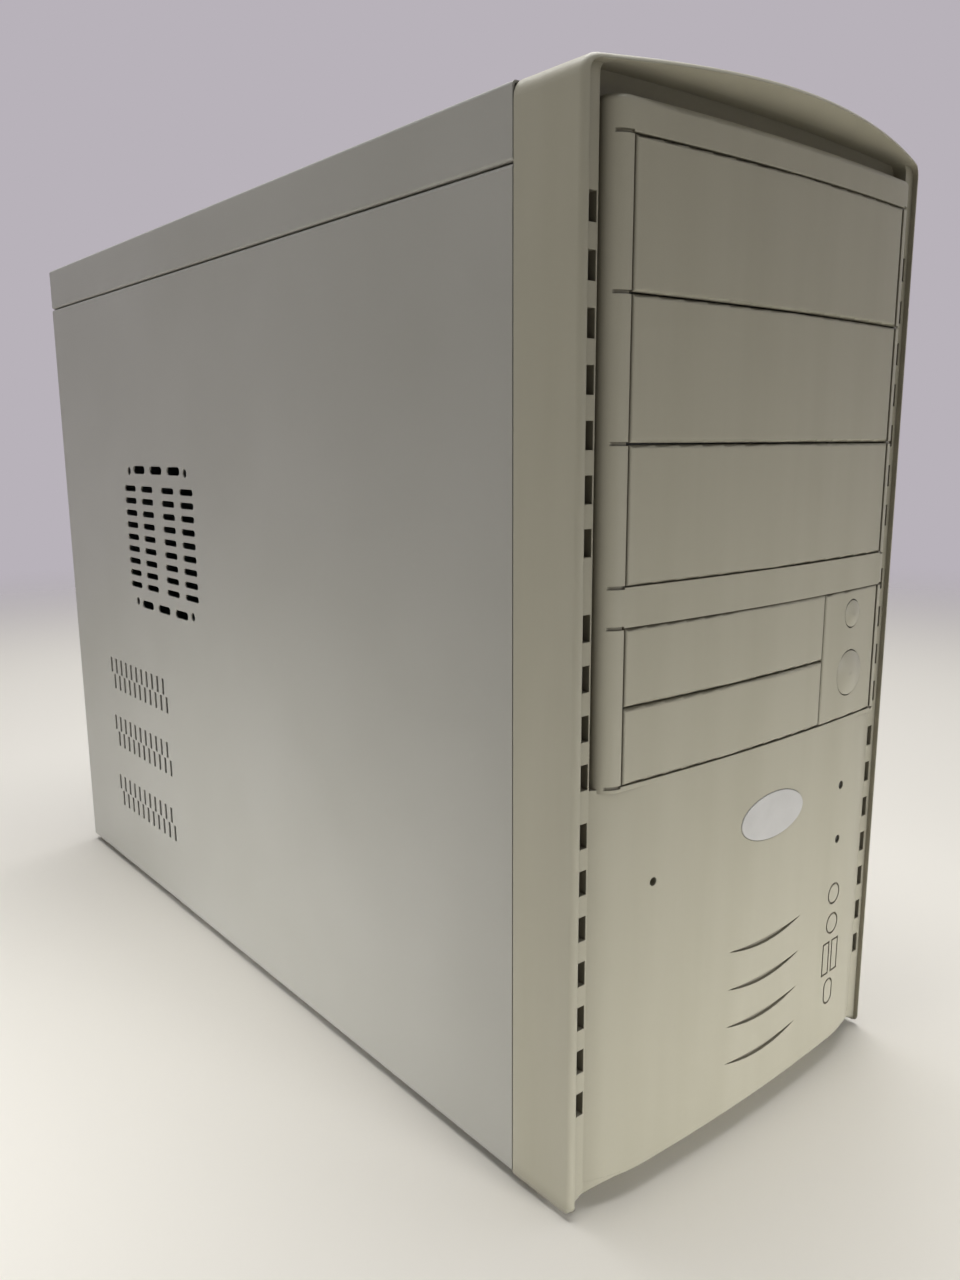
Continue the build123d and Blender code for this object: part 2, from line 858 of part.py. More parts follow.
# Power and reset buttons: turned caps with a dome, a flange behind the panel and a stem to the switch
def push_button(z, radius, travel):
    """Half profile of a button, from the dome's middle round to the end of the stem, turned about its axis."""
    tip_y = bow(power_x) - button_proud
    stem_end = plunger_y - travel - fit_gap
    edge = power_x + radius
    with BuildPart() as button:
        with BuildSketch(Plane.XY.offset(z)) as profile:
            with BuildLine():
                RadiusArc(
                    (edge, tip_y + button_dome),
                    (power_x, tip_y),
                    (radius**2 + button_dome**2) / (2 * button_dome),
                )
                Polyline(
                    (power_x, tip_y),
                    (power_x, stem_end),
                    (power_x + button_stem, stem_end),
                    (power_x + button_stem, button_back_y),
                    (edge + button_flange, button_back_y),
                    (edge + button_flange, button_flange_y),
                    (edge, button_flange_y),
                    (edge, tip_y + button_dome),
                )
            make_face()
        revolve(axis=Axis((power_x, 0, z), (0, 1, 0)))
    return button


save(push_button(power_z, power_radius, power_travel), "power_button")
save(push_button(reset_z, reset_radius, reset_travel), "reset_button")

# Switch board on the panel's posts, with a push switch behind each button
board_xs = (post_xs[0] - post_radius, post_xs[1] + post_radius)
with BuildPart() as switch_board:
    block(
        board_xs,
        (switch_board_y, switch_board_y + switch_board_thick),
        (post_zs[0] - post_radius, post_zs[1] + post_radius),
    )
save(switch_board, "switch_board")

with BuildPart() as front_switches:
    for z in (power_z, reset_z):
        block(
            (power_x - switch_size / 2, power_x + switch_size / 2),
            (switch_y, switch_board_y),
            (z - switch_size / 2, z + switch_size / 2),
        )
        rod("Y", power_x, z, (plunger_y, switch_y), switch_plunger)
save(front_switches, "front_switches")

# Indicator lamps, pushed into the bosses behind the lower front until their flanges seat
with BuildPart() as indicator_lamps:
    for x, z in lamp_places:
        seat = bow(x) + bezel_wall / 2 + lamp_boss_length
        rod("Y", x, z, (bow(x) + lamp_sink, seat + lamp_length), lamp_radius)
        rod("Y", x, z, (seat, seat + lamp_flange_thick), lamp_radius + lamp_flange)
save(indicator_lamps, "indicator_lamps")

# Oval badge plate in its pocket, left plain
with BuildPart() as badge_plate:
    with BuildSketch(Plane.XZ.offset(-(bow(badge_x) + badge_sink))) as badge_oval:
        with Locations((badge_x, bottom_z + lower_height * badge_share)):
            Ellipse(badge_width / 2, badge_height / 2)
    extrude(badge_oval.sketch, amount=badge_sink + badge_proud)
    fillet(badge_plate.faces().sort_by(Axis.Y)[0].edges(), badge_proud)
save(badge_plate, "badge_plate")

# Top cover: one folded sheet with a deep flange on each side and a slotted return under each flange
return_x = side_x - sheet - panel_return
tab_x = return_x + tab_inset
tab_ys = [seam_y + case_depth * share for share in tab_place_shares]


def tab_slots(zs):
    """Cut the slots in which the tabs of both side panels slide."""
    for side in (-1, 1):
        for y in tab_ys:
            slot_x = sorted((side * (tab_x - tab_slot_clear), side * (tab_x + sheet + tab_slot_clear)))
            ends = (y - tab_length / 2 - tab_slot_clear, y + tab_length / 2 + panel_travel + tab_slot_clear)
            block(slot_x, ends, zs, Mode.SUBTRACT)


with BuildPart() as top_cover:
    cover_path = [
        (-return_x, flange_low),
        (-side_x, flange_low),
        (-side_x, top_z),
        (side_x, top_z),
        (side_x, flange_low),
        (return_x, flange_low),
    ]
    extrude(
        bent_sheet(Plane.XZ.offset(-seam_y - slide_gap), cover_path, Side.RIGHT),
        amount=-(case_depth - slide_gap),
    )
    tab_slots((flange_low - cut_over, flange_low + sheet + cut_over))
save(top_cover, "top_cover")

# Side panels: folded sheets with tabs top and bottom, held by two screws through the rear flange
vent_y = rear_y - vent_from_rear
vent_z = bottom_z + board_lift + vent_lift
screw_x = side_x - thumb_inset
screw_zs = (bottom_z + thumb_margin, panel_top - thumb_margin)


def side_panel(side, turn):
    """One side panel, with side -1 for the left and 1 for the right; turn is the side its folds lie on."""
    path = [
        (side * return_x, bottom_z),
        (side * side_x, bottom_z),
        (side * side_x, panel_top),
        (side * return_x, panel_top),
    ]
    with BuildPart() as panel:
        extrude(
            bent_sheet(Plane.XZ.offset(-seam_y - slide_gap), path, turn),
            amount=-(case_depth - slide_gap),
        )
        block(
            sorted((side * return_x, side * (side_x - sheet / 2))),
            (seam_y + slide_gap, seam_y + slide_gap + sheet),
            (floor_z + sheet + slide_gap, panel_top - sheet / 2),
        )
        block(
            sorted((side * (side_x - rear_flange), side * (side_x - sheet / 2))),
            (rear_y - sheet, rear_y),
            (bottom_z + sheet / 2, panel_top - sheet / 2),
        )
        for z in screw_zs:
            rod(
                "Y",
                side * screw_x,
                z,
                (rear_y - sheet - cut_over, rear_y + cut_over),
                screw_radius + screw_hole_clear,
                Mode.SUBTRACT,
            )
        for y in tab_ys:
            for base in (bottom_z + sheet, panel_top):
                block(
                    sorted((side * tab_x, side * (tab_x + sheet))),
                    (y - tab_length / 2, y + tab_length / 2),
                    (base - sheet / 2, base + tab_height),
                )
    return panel


left_side_panel = side_panel(-1, Side.RIGHT)
with left_side_panel:
    vent_plane = Plane(origin=(-side_x - cut_over, vent_y, vent_z), x_dir=(0, 1, 0), z_dir=(1, 0, 0))
    with BuildSketch(vent_plane) as fan_vent:
        columns = (-vent_outer_column, -vent_inner_column, vent_inner_column, vent_outer_column)
        rows = [(i - (vent_rows - 1) / 2) * vent_row_pitch for i in range(vent_rows)]
        with Locations(*[(u, v) for u in columns for v in rows]):
            SlotOverall(vent_slot_length, vent_slot_height)
        with GridLocations(vent_end_pitch, vent_square, 3, 2):
            SlotOverall(vent_slot_length, vent_end_height)
        with GridLocations(vent_hole_spacing, vent_hole_spacing, 2, 2):
            Circle(vent_hole)
    extrude(fan_vent.sketch, amount=2 * cut_over, mode=Mode.SUBTRACT)
    for share in slit_height_shares:
        slit_plane = Plane(
            origin=(-side_x - cut_over, rear_y - slit_from_rear, bottom_z + case_height * share),
            x_dir=(0, 1, 0),
            z_dir=(1, 0, 0),
        )
        with BuildSketch(slit_plane) as slits:
            for row in (-1, 1):
                with Locations((row * slit_pitch / 4, row * slit_row_gap / 2)):
                    with GridLocations(slit_pitch, slit_height, slit_columns, 1):
                        Rectangle(slit_width, slit_height)
        extrude(slits.sketch, amount=2 * cut_over, mode=Mode.SUBTRACT)
save(left_side_panel, "left_side_panel")
save(side_panel(1, Side.LEFT), "right_side_panel")

# Thumbscrews that hold each side panel to the rear panel
for side, name in ((-1, "left_panel_screws"), (1, "right_panel_screws")):
    with BuildPart() as panel_screws:
        for z in screw_zs:
            rod("Y", side * screw_x, z, (rear_y - screw_length, rear_y), screw_radius)
            rod("Y", side * screw_x, z, (rear_y, rear_y + thumb_head_length / 2), thumb_radius - thumb_waist)
            rod(
                "Y",
                side * screw_x,
                z,
                (rear_y + thumb_head_length / 2, rear_y + thumb_head_length),
                thumb_radius,
            )
    save(panel_screws, name)

# Base pan: floor sheet with a flange up at the front and rear, two stiffening beads and the foot holes
foot_places = [
    (side * (side_x - foot_inset_x), y)
    for side in (-1, 1)
    for y in (front_back_y + foot_inset_y, rear_inner_y - foot_inset_y)
]
floor_top = floor_z + sheet
with BuildPart() as base_pan:
    base_path = [
        (front_back_y, floor_z + base_flange),
        (front_back_y, floor_z),
        (rear_inner_y, floor_z),
        (rear_inner_y, floor_z + base_flange),
    ]
    extrude(bent_sheet(Plane.YZ.offset(-floor_half), base_path, Side.LEFT), amount=2 * floor_half)
    for side in (-1, 1):
        block(
            sorted((side * chassis_half, side * (floor_half + cut_over))),
            (front_back_y - cut_over, rear_inner_y + cut_over),
            (floor_top, floor_z + base_flange + cut_over),
            Mode.SUBTRACT,
        )
        bead_x = side * (side_x - bead_inset)
        block(
            (bead_x - bead_width / 2, bead_x + bead_width / 2),
            (front_back_y + bead_margin, rear_inner_y - bead_margin),
            (floor_top, floor_top + bead_height),
        )
    tab_slots((floor_z - cut_over, floor_top + cut_over))
    for x, y in foot_places:
        rod("Z", x, y, (floor_z - cut_over, floor_top + cut_over), foot_peg + fit_gap, Mode.SUBTRACT)
save(base_pan, "base_pan")

# Feet: soft turned feet, each held by a peg through the floor
with BuildPart() as case_feet:
    for x, y in foot_places:
        with Locations((x, y, floor_z / 2)):
            Cone(foot_radius - foot_taper, foot_radius, floor_z)
        rod("Z", x, y, (floor_z - foot_peg_rise, floor_top + foot_peg_rise), foot_peg)
save(case_feet, "case_feet")

# Front plate: steel sheet behind the bezel, with the bay openings, the hook holes and the air intake
small_middle_x = (small_right - bay_half) / 2
small_cage_half = small_cage_width / 2
plate_ys = (front_plate_y - cut_over, front_back_y + cut_over)
with BuildPart() as front_plate:
    front_path = [
        (front_plate_y, floor_z),
        (front_plate_y, roof_z),
        (front_plate_y + plate_flange, roof_z),
    ]
    extrude(bent_sheet(Plane.YZ.offset(-chassis_half), front_path, Side.RIGHT), amount=2 * chassis_half)
    block(
        (-cage_width / 2, cage_width / 2),
        plate_ys,
        (bay_low + opening_margin, bay_top - opening_margin),
        Mode.SUBTRACT,
    )
    block(
        (small_middle_x - small_cage_half, small_middle_x + small_cage_half),
        plate_ys,
        (small_low + opening_margin, small_top - opening_margin),
        Mode.SUBTRACT,
    )
    block(
        (power_x - lead_hole_width / 2, power_x + lead_hole_width / 2),
        plate_ys,
        (power_z - lead_hole_height / 2, power_z + lead_hole_height / 2),
        Mode.SUBTRACT,
    )
    for side in (-1, 1):
        for z in hook_zs:
            inner = hook_x - hook_thick / 2 - hook_lip - hook_hole_clear
            outer = hook_x + hook_thick / 2 + hook_hole_clear
            hole_zs = (z - hook_width / 2 - hook_hole_clear, z + hook_width / 2 + hook_hole_clear)
            block(sorted((side * inner, side * outer)), plate_ys, hole_zs, Mode.SUBTRACT)
    with BuildSketch(Plane.XZ.offset(-plate_ys[0])) as intake:
        with Locations((intake_x, bottom_z + intake_lift)):
            with GridLocations(intake_slot_width, intake_pitch, 1, intake_rows):
                Rectangle(intake_slot_width, intake_slot_height)
    extrude(intake.sketch, amount=plate_ys[0] - plate_ys[1], mode=Mode.SUBTRACT)
save(front_plate, "front_plate")

# Places on the motherboard, which stands upright beside the right panel with its parts facing left
tray_x = chassis_half - sheet
board_back_x = tray_x - standoff_length
board_x = board_back_x - board_thick
board_rear_y = rear_inner_y - board_rear_gap
board_front_y = board_rear_y - board_size
board_low = bottom_z + board_lift
board_top = board_low + board_size
aperture_top = board_top - aperture_drop
aperture_low = aperture_top - aperture_length
aperture_x = board_x + aperture_behind
slot_zs = [aperture_low - slot_first_drop - i * slot_pitch for i in range(slot_count)]
bracket_x1 = aperture_x - bracket_inset
bracket_x0 = bracket_x1 - bracket_length
bracket_screw_x = bracket_x0 + psu_screw_inset
opening_x1 = bracket_x1 - bracket_inset
psu_half = psu_width / 2
psu_top = roof_z - psu_roof_gap
psu_low = psu_top - psu_height
psu_mid = (psu_top + psu_low) / 2
psu_front_y = rear_inner_y - psu_depth
psu_screws = [
    (sx * (psu_half - psu_screw_inset), psu_mid + sz * (psu_height / 2 - psu_screw_inset))
    for sx in (-1, 1)
    for sz in (-1, 1)
]
slot_screws = [(bracket_screw_x, z) for z in slot_zs]
case_screw_hole = screw_radius + screw_hole_clear

# Rear panel: steel sheet with the power supply, socket, card slot and vent openings
rear_ys = (rear_inner_y - cut_over, rear_face_y + cut_over)
with BuildPart() as rear_panel:
    rear_path = [
        (rear_face_y, floor_z),
        (rear_face_y, roof_z),
        (rear_face_y - plate_flange, roof_z),
    ]
    extrude(bent_sheet(Plane.YZ.offset(-chassis_half), rear_path, Side.LEFT), amount=2 * chassis_half)
    shoulder = side_x - sheet - slide_gap
    block(
        (-shoulder, shoulder),
        (rear_inner_y, rear_face_y),
        (flange_low + sheet + slide_gap, roof_z - bend),
    )
    with BuildSketch(Plane.XZ.offset(-rear_ys[0])) as rear_openings:
        with Locations((0, psu_mid)):
            Rectangle(psu_width - 2 * psu_opening_inset, psu_height - 2 * psu_opening_inset)
            ear_x = psu_width - 2 * psu_opening_inset - psu_ear
            ear_z = psu_height - 2 * psu_opening_inset - psu_ear
            with GridLocations(ear_x, ear_z, 2, 2):
                Rectangle(psu_ear, psu_ear, mode=Mode.SUBTRACT)
        with Locations((aperture_x - aperture_width / 2, (aperture_top + aperture_low) / 2)):
            Rectangle(aperture_width, aperture_length)
        for z in slot_zs:
            with Locations((opening_x1 - slot_opening_length / 2, z)):
                Rectangle(slot_opening_length, slot_opening_height)
        with Locations((rear_vent_x, vent_z)):
            with GridLocations(rear_vent_length, rear_vent_pitch, 1, rear_vent_rows):
                SlotOverall(rear_vent_length, rear_vent_slot)
        with Locations(*psu_screws, *slot_screws):
            Circle(case_screw_hole)
        with Locations(*[(side * screw_x, z) for side in (-1, 1) for z in screw_zs]):
            Circle(case_screw_hole)
    extrude(rear_openings.sketch, amount=rear_ys[0] - rear_ys[1], mode=Mode.SUBTRACT)
save(rear_panel, "rear_panel")

# Motherboard tray: upright sheet beside the right panel, folded against the rear panel
tray_low = floor_z + base_flange + slide_gap
tray_top = board_top + tray_overlap
with BuildPart() as motherboard_tray:
    tray_path = [
        (chassis_half, rear_inner_y - tray_length),
        (chassis_half, rear_inner_y),
        (chassis_half - tray_flange, rear_inner_y),
    ]
    extrude(bent_sheet(Plane.XY.offset(tray_low), tray_path, Side.LEFT), amount=tray_top - tray_low)
    for z in screw_zs:
        rod("Y", screw_x, z, rear_ys, case_screw_hole, Mode.SUBTRACT)
save(motherboard_tray, "motherboard_tray")

# Cage of the 5.25 inch bays: a folded channel with lanced rails and screw slots
cage_half = cage_width / 2
cage_floor = bay_low - cage_floor_drop
with BuildPart() as bay_cage:
    cage_path = [(-cage_half, bay_top), (-cage_half, cage_floor), (cage_half, cage_floor), (cage_half, bay_top)]
    extrude(bent_sheet(Plane.XZ.offset(-front_back_y), cage_path, Side.RIGHT), amount=-cage_length)
    for i in range(bay_count):
        shelf_z = bay_low + i * bay_pitch
        for share in rail_place_shares:
            rail_y = front_back_y + cage_length * share
            for side in (-1, 1):
                block(
                    sorted((side * (cage_half - rail_depth), side * (cage_half + sheet / 2))),
                    (rail_y, rail_y + rail_length),
                    (shelf_z, shelf_z + rail_thick),
                )
                block(
                    sorted((side * (cage_half - sheet), side * (cage_half + sheet + cut_over))),
                    (rail_y, rail_y + drive_slot_length),
                    (shelf_z + drive_slot_lift, shelf_z + drive_slot_lift + drive_slot_height),
                    Mode.SUBTRACT,
                )
save(bay_cage, "bay_cage")

# Cage of the 3.5 inch bays, hung under the upper cage by its lugs
drive_low = small_low - drive_gap - drive_height
small_cage_top = cage_floor - sheet
small_x0 = small_middle_x - small_cage_half
small_x1 = small_middle_x + small_cage_half
with BuildPart() as small_cage:
    small_path = [
        (small_x0 - small_cage_lug, small_cage_top),
        (small_x0, small_cage_top),
        (small_x0, drive_low),
        (small_x1, drive_low),
        (small_x1, small_cage_top),
        (small_x1 + small_cage_lug, small_cage_top),
    ]
    extrude(bent_sheet(Plane.XZ.offset(-front_back_y), small_path, Side.RIGHT), amount=-small_cage_length)
    for shelf_z in [drive_low] + [small_low + i * small_pitch for i in range(small_count)]:
        for share in rail_place_shares:
            slot_y = front_back_y + small_cage_length * share
            block(
                (small_x0 - cut_over, small_x1 + cut_over),
                (slot_y, slot_y + drive_slot_length),
                (shelf_z + drive_slot_lift, shelf_z + drive_slot_lift + drive_slot_height),
                Mode.SUBTRACT,
            )
save(small_cage, "small_cage")


# Fans: a square frame with a motor mount on struts, and a rotor of leaning blades on a hub
def fan_frame(plane, size, depth):
    """Fan frame on a plane at its mounting face, reaching back by depth; the motor mount is at that face."""
    bore = size / 2 - fan_wall
    hub = bore * fan_hub_share
    with BuildPart() as frame:
        with BuildSketch(plane) as outline:
            Rectangle(size, size)
            Circle(bore, mode=Mode.SUBTRACT)
            with GridLocations(size - 2 * fan_wall * 2, size - 2 * fan_wall * 2, 2, 2):
                Circle(fan_hole_radius, mode=Mode.SUBTRACT)
        extrude(outline.sketch, amount=depth)
        with BuildSketch(plane) as mount:
            Circle(hub)
            with PolarLocations((bore + hub) / 2, fan_strut_count):
                Rectangle(bore - hub + fan_wall, fan_strut)
            Circle(fan_shaft_radius + fan_shaft_clear, mode=Mode.SUBTRACT)
        extrude(mount.sketch, amount=fan_mount_depth)
    return frame


def fan_rotor(plane, size, depth):
    """Rotor that turns in a frame of the same size: hub, shaft and blades lofted from root to tip."""
    bore = size / 2 - fan_wall
    hub = bore * fan_hub_share
    tip = bore - fan_tip_gap
    start = fan_mount_depth + fan_run_gap
    span = depth - start - fan_run_gap
    with BuildPart() as rotor:
        with BuildSketch(plane.offset(start)):
            Circle(hub)
        extrude(amount=span)
        with BuildSketch(plane):
            Circle(fan_shaft_radius)
        extrude(amount=start)
        blade_planes = [
            Plane(
                plane.offset(start + span / 2).from_local_coords((reach, 0, 0)),
                x_dir=plane.y_dir,
                z_dir=plane.x_dir,
            )
            for reach in (hub - fan_blade_thick, tip)
        ]
        sections = []
        for blade_plane, share in zip(blade_planes, (fan_hub_share, 1)):
            with BuildSketch(blade_plane) as section:
                with Locations(Rotation(0, 0, fan_blade_lean)):
                    Rectangle(fan_blade_thick, span * (1 + share) / 2)
            sections.append(section.sketch)
        blade = loft(sections, ruled=True, mode=Mode.PRIVATE)
        hub_axis = Axis(plane.origin, plane.z_dir)
        for i in range(fan_blade_count):
            add(blade.rotate(hub_axis, i * 360 / fan_blade_count))
    return rotor


# Power supply: a folded case, a lid over its top and sides, and the fan and sockets on its rear face
psu_fan_plane = Plane(origin=(psu_fan_x, rear_inner_y - sheet, psu_mid), x_dir=(1, 0, 0), z_dir=(0, -1, 0))
psu_bore = psu_fan_size / 2 - fan_wall
psu_fan_holes = psu_fan_size - 4 * fan_wall
inlet_z = psu_mid - inlet_drop
rocker_z = psu_mid + rocker_rise
main_exit_x = psu_half - 4 * main_cable_radius
main_exit_z = psu_low + 3 * main_cable_radius
drive_exit_x = main_exit_x - 4 * main_cable_radius
psu_inner_half = psu_half - sheet
with BuildPart() as psu_case:
    psu_path = [
        (rear_inner_y, psu_top - bend),
        (rear_inner_y, psu_low),
        (psu_front_y, psu_low),
        (psu_front_y, psu_top - bend),
    ]
    extrude(bent_sheet(Plane.YZ.offset(-psu_inner_half), psu_path, Side.RIGHT), amount=2 * psu_inner_half)
    with BuildSketch(Plane.XZ.offset(-rear_ys[0])) as psu_openings:
        with Locations((psu_fan_x, psu_mid)):
            Circle(psu_bore)
            with GridLocations(psu_fan_holes, psu_fan_holes, 2, 2):
                Circle(fan_hole_radius)
        with Locations((psu_column_x, inlet_z)):
            Rectangle(inlet_width - 2 * inlet_body_inset, inlet_height - 2 * inlet_body_inset)
        with Locations((psu_column_x, rocker_z)):
            Rectangle(rocker_width - 2 * rocker_flange, rocker_height - 2 * rocker_flange)
        with Locations(*psu_screws):
            Circle(case_screw_hole)
    extrude(psu_openings.sketch, amount=rear_ys[0] - rear_ys[1], mode=Mode.SUBTRACT)
    psu_front_ys = (psu_front_y + cut_over, psu_front_y - cut_over)
    with BuildSketch(Plane.XZ.offset(-psu_front_ys[1])) as front_openings:
        with Locations((psu_fan_x, psu_mid)):
            with GridLocations(psu_vent_length, psu_vent_pitch, 1, psu_vent_rows):
                Rectangle(psu_vent_length, psu_vent_height)
        with Locations((main_exit_x, main_exit_z)):
            Circle(main_cable_radius + fit_gap)
        with Locations((drive_exit_x, main_exit_z)):
            Circle(drive_cable_radius + fit_gap)
    extrude(front_openings.sketch, amount=psu_front_ys[1] - psu_front_ys[0], mode=Mode.SUBTRACT)
save(psu_case, "psu_case")

with BuildPart() as psu_lid:
    lid_path = [
        (-psu_half, psu_low),
        (-psu_half, psu_top + sheet),
        (psu_half, psu_top + sheet),
        (psu_half, psu_low),
    ]
    extrude(bent_sheet(Plane.XZ.offset(-psu_front_y), lid_path, Side.RIGHT), amount=-psu_depth)
save(psu_lid, "psu_lid")

save(fan_frame(psu_fan_plane, psu_fan_size, psu_fan_depth), "psu_fan_frame")
save(fan_rotor(psu_fan_plane, psu_fan_size, psu_fan_depth), "psu_fan_rotor")

# Finger guard over the fan: rings and diagonal stays with an eye at each screw
grille_plane = Plane(origin=(psu_fan_x, rear_inner_y, psu_mid), x_dir=(-1, 0, 0), z_dir=(0, 1, 0))
with BuildPart() as psu_fan_grille:
    with BuildSketch(grille_plane) as wires:
        for i in range(grille_rings, 0, -1):
            ring = psu_bore * i / grille_rings
            Circle(ring)
            Circle(ring - grille_wire, mode=Mode.SUBTRACT)
        for turn in (45, 135):
            Rectangle(psu_fan_holes * sqrt(2), grille_wire, rotation=turn)
        with GridLocations(psu_fan_holes, psu_fan_holes, 2, 2):
            Circle(grille_eye)
            Circle(fan_hole_radius, mode=Mode.SUBTRACT)
    extrude(wires.sketch, amount=grille_wire)
save(psu_fan_grille, "psu_fan_grille")

# Mains inlet: flanged body with a chamfered socket and three blades
inlet_plane = Plane(origin=(psu_column_x, rear_inner_y, inlet_z), x_dir=(-1, 0, 0), z_dir=(0, 1, 0))
with BuildPart() as mains_inlet:
    with BuildSketch(inlet_plane):
        RectangleRounded(inlet_width, inlet_height, inlet_flange)
    extrude(amount=inlet_flange)
    with BuildSketch(inlet_plane):
        body_inset = 2 * inlet_body_inset + fit_gap
        Rectangle(inlet_width - body_inset, inlet_height - body_inset)
    extrude(amount=-inlet_depth)
    with BuildSketch(inlet_plane.offset(inlet_flange)) as socket_shape:
        Rectangle(inlet_socket_width, inlet_socket_height)
        chamfer(socket_shape.vertices().group_by(Axis.Y)[-1], inlet_socket_chamfer)
    extrude(amount=-inlet_socket_depth, mode=Mode.SUBTRACT)
    with BuildSketch(inlet_plane.offset(inlet_flange - inlet_socket_depth)):
        pins = [(-inlet_pin_spread, -inlet_pin_offset), (0, inlet_pin_offset), (inlet_pin_spread, -inlet_pin_offset)]
        with Locations(*pins):
            Rectangle(inlet_pin_thick, inlet_pin_width)
    extrude(amount=inlet_pin_length)
save(mains_inlet, "mains_inlet")

# Rocker switch: a flanged housing, and a rocker that turns on a pin across it
rocker_plane = Plane(origin=(psu_column_x, rear_inner_y, rocker_z), x_dir=(-1, 0, 0), z_dir=(0, 1, 0))
rocker_hole_width = rocker_width - 2 * rocker_rim
rocker_hole_height = rocker_height - 2 * rocker_rim
rocker_radius = rocker_hole_width / 2 - rocker_clear
rocker_pivot_y = rear_inner_y + rocker_flange / 2
with BuildPart() as rocker_housing:
    with BuildSketch(rocker_plane):
        Rectangle(rocker_width, rocker_height)
    extrude(amount=rocker_flange)
    with BuildSketch(rocker_plane):
        Rectangle(rocker_width - 2 * rocker_flange - fit_gap, rocker_height - 2 * rocker_flange - fit_gap)
    extrude(amount=-rocker_depth)
    with BuildSketch(rocker_plane.offset(rocker_flange)):
        Rectangle(rocker_hole_width, rocker_hole_height)
    extrude(amount=-rocker_radius - rocker_flange - rocker_clear, mode=Mode.SUBTRACT)
    rod(
        "Z",
        psu_column_x,
        rocker_pivot_y,
        (rocker_z - rocker_hole_height / 2, rocker_z + rocker_hole_height / 2),
        rocker_pivot,
    )
save(rocker_housing, "rocker_housing")

with BuildPart() as rocker_switch:
    rocker_low = rocker_z - rocker_hole_height / 2 + rocker_clear
    tilted_plane = Plane((psu_column_x, rocker_pivot_y, rocker_low)).rotated((0, 0, rocker_tilt))
    with BuildSketch(tilted_plane) as rocker_profile:
        with BuildLine():
            ThreePointArc((-rocker_radius, 0), (0, -rocker_radius), (rocker_radius, 0))
            Polyline((rocker_radius, 0), (0, rocker_proud), (-rocker_radius, 0))
        make_face()
        Circle(rocker_pivot + fan_shaft_clear, mode=Mode.SUBTRACT)
    extrude(rocker_profile.sketch, amount=rocker_hole_height - 2 * rocker_clear)
save(rocker_switch, "rocker_switch")

# Screws of one kind: four through the rear panel into the power supply, one for each slot cover
with BuildPart() as case_screws:
    for x, z in psu_screws + slot_screws:
        rod("Y", x, z, (rear_face_y - case_screw_length, rear_face_y), screw_radius)
        with BuildSketch(Plane.XZ.offset(-rear_face_y)) as screw_head:
            with Locations((x, z)):
                RegularPolygon(case_screw_head, 6)
        extrude(screw_head.sketch, amount=-case_screw_head_height)
save(case_screws, "case_screws")

# Slot covers: one blank bracket behind each expansion slot opening
with BuildPart() as slot_covers:
    for z in slot_zs:
        block(
            (bracket_x0, bracket_x1),
            (rear_inner_y - bracket_thick, rear_inner_y),
            (z - bracket_height / 2, z + bracket_height / 2),
        )
    for x, z in slot_screws:
        rod("Y", x, z, rear_ys, case_screw_hole, Mode.SUBTRACT)
save(slot_covers, "slot_covers")

# Motherboard on its stand-offs
hole_places = [
    (board_rear_y - board_size * across, board_low + board_size * up)
    for across in board_hole_column_shares
    for up in board_hole_row_shares
]
with BuildPart() as motherboard:
    block((board_x, board_back_x), (board_front_y, board_rear_y), (board_low, board_top))
    for y, z in hole_places:
        rod("X", y, z, (board_x - cut_over, tray_x), board_screw_radius + fit_gap, Mode.SUBTRACT)
save(motherboard, "motherboard")

with BuildPart() as standoffs:
    for y, z in hole_places:
        with BuildSketch(Plane.YZ.offset(board_back_x)) as hexagon:
            with Locations((y, z)):
                RegularPolygon(standoff_flat, 6, major_radius=False)
                Circle(board_screw_radius + fan_shaft_clear, mode=Mode.SUBTRACT)
        extrude(hexagon.sketch, amount=standoff_length)
save(standoffs, "standoffs")

with BuildPart() as board_screws:
    for y, z in hole_places:
        rod("X", y, z, (board_x - board_screw_head_height, board_x), board_screw_head)
        rod("X", y, z, (board_x, board_back_x + standoff_length / 2), board_screw_radius)
save(board_screws, "board_screws")


def on_board(y, z, length_y, length_z, base, rise, mode=Mode.ADD):
    """Add or cut a block centred at y and z that stands on the board from base to base plus rise."""
    block(
        (board_x - base - rise, board_x - base),
        (y - length_y / 2, y + length_y / 2),
        (z - length_z / 2, z + length_z / 2),
        mode,
    )


# Processor in its socket, behind the side panel's vent
with BuildPart() as cpu_socket:
    on_board(vent_y, vent_z, socket_size, socket_size, 0, socket_height)
    recess = socket_size - 2 * socket_rim
    on_board(vent_y, vent_z, recess, recess, socket_height - socket_recess, socket_recess, Mode.SUBTRACT)
save(cpu_socket, "cpu_socket")

processor_seat = socket_height - socket_recess
with BuildPart() as processor:
    on_board(vent_y, vent_z, processor_size, processor_size, processor_seat, processor_base)
    on_board(
        vent_y, vent_z, processor_cap, processor_cap, processor_seat + processor_base, processor_cap_height
    )
save(processor, "processor")

# Heatsink: base plate with a comb of fins, carrying the fan
heatsink_seat = processor_seat + processor_base + processor_cap_height
with BuildPart() as cpu_heatsink:
    on_board(vent_y, vent_z, heatsink_length, heatsink_width, heatsink_seat, heatsink_base)
    fin_pitch = (heatsink_width - heatsink_fin_thick) / (heatsink_fins - 1)
    for i in range(heatsink_fins):
        fin_z = vent_z + (i - (heatsink_fins - 1) / 2) * fin_pitch
        on_board(vent_y, fin_z, heatsink_length, heatsink_fin_thick, heatsink_seat, heatsink_height)
save(cpu_heatsink, "cpu_heatsink")

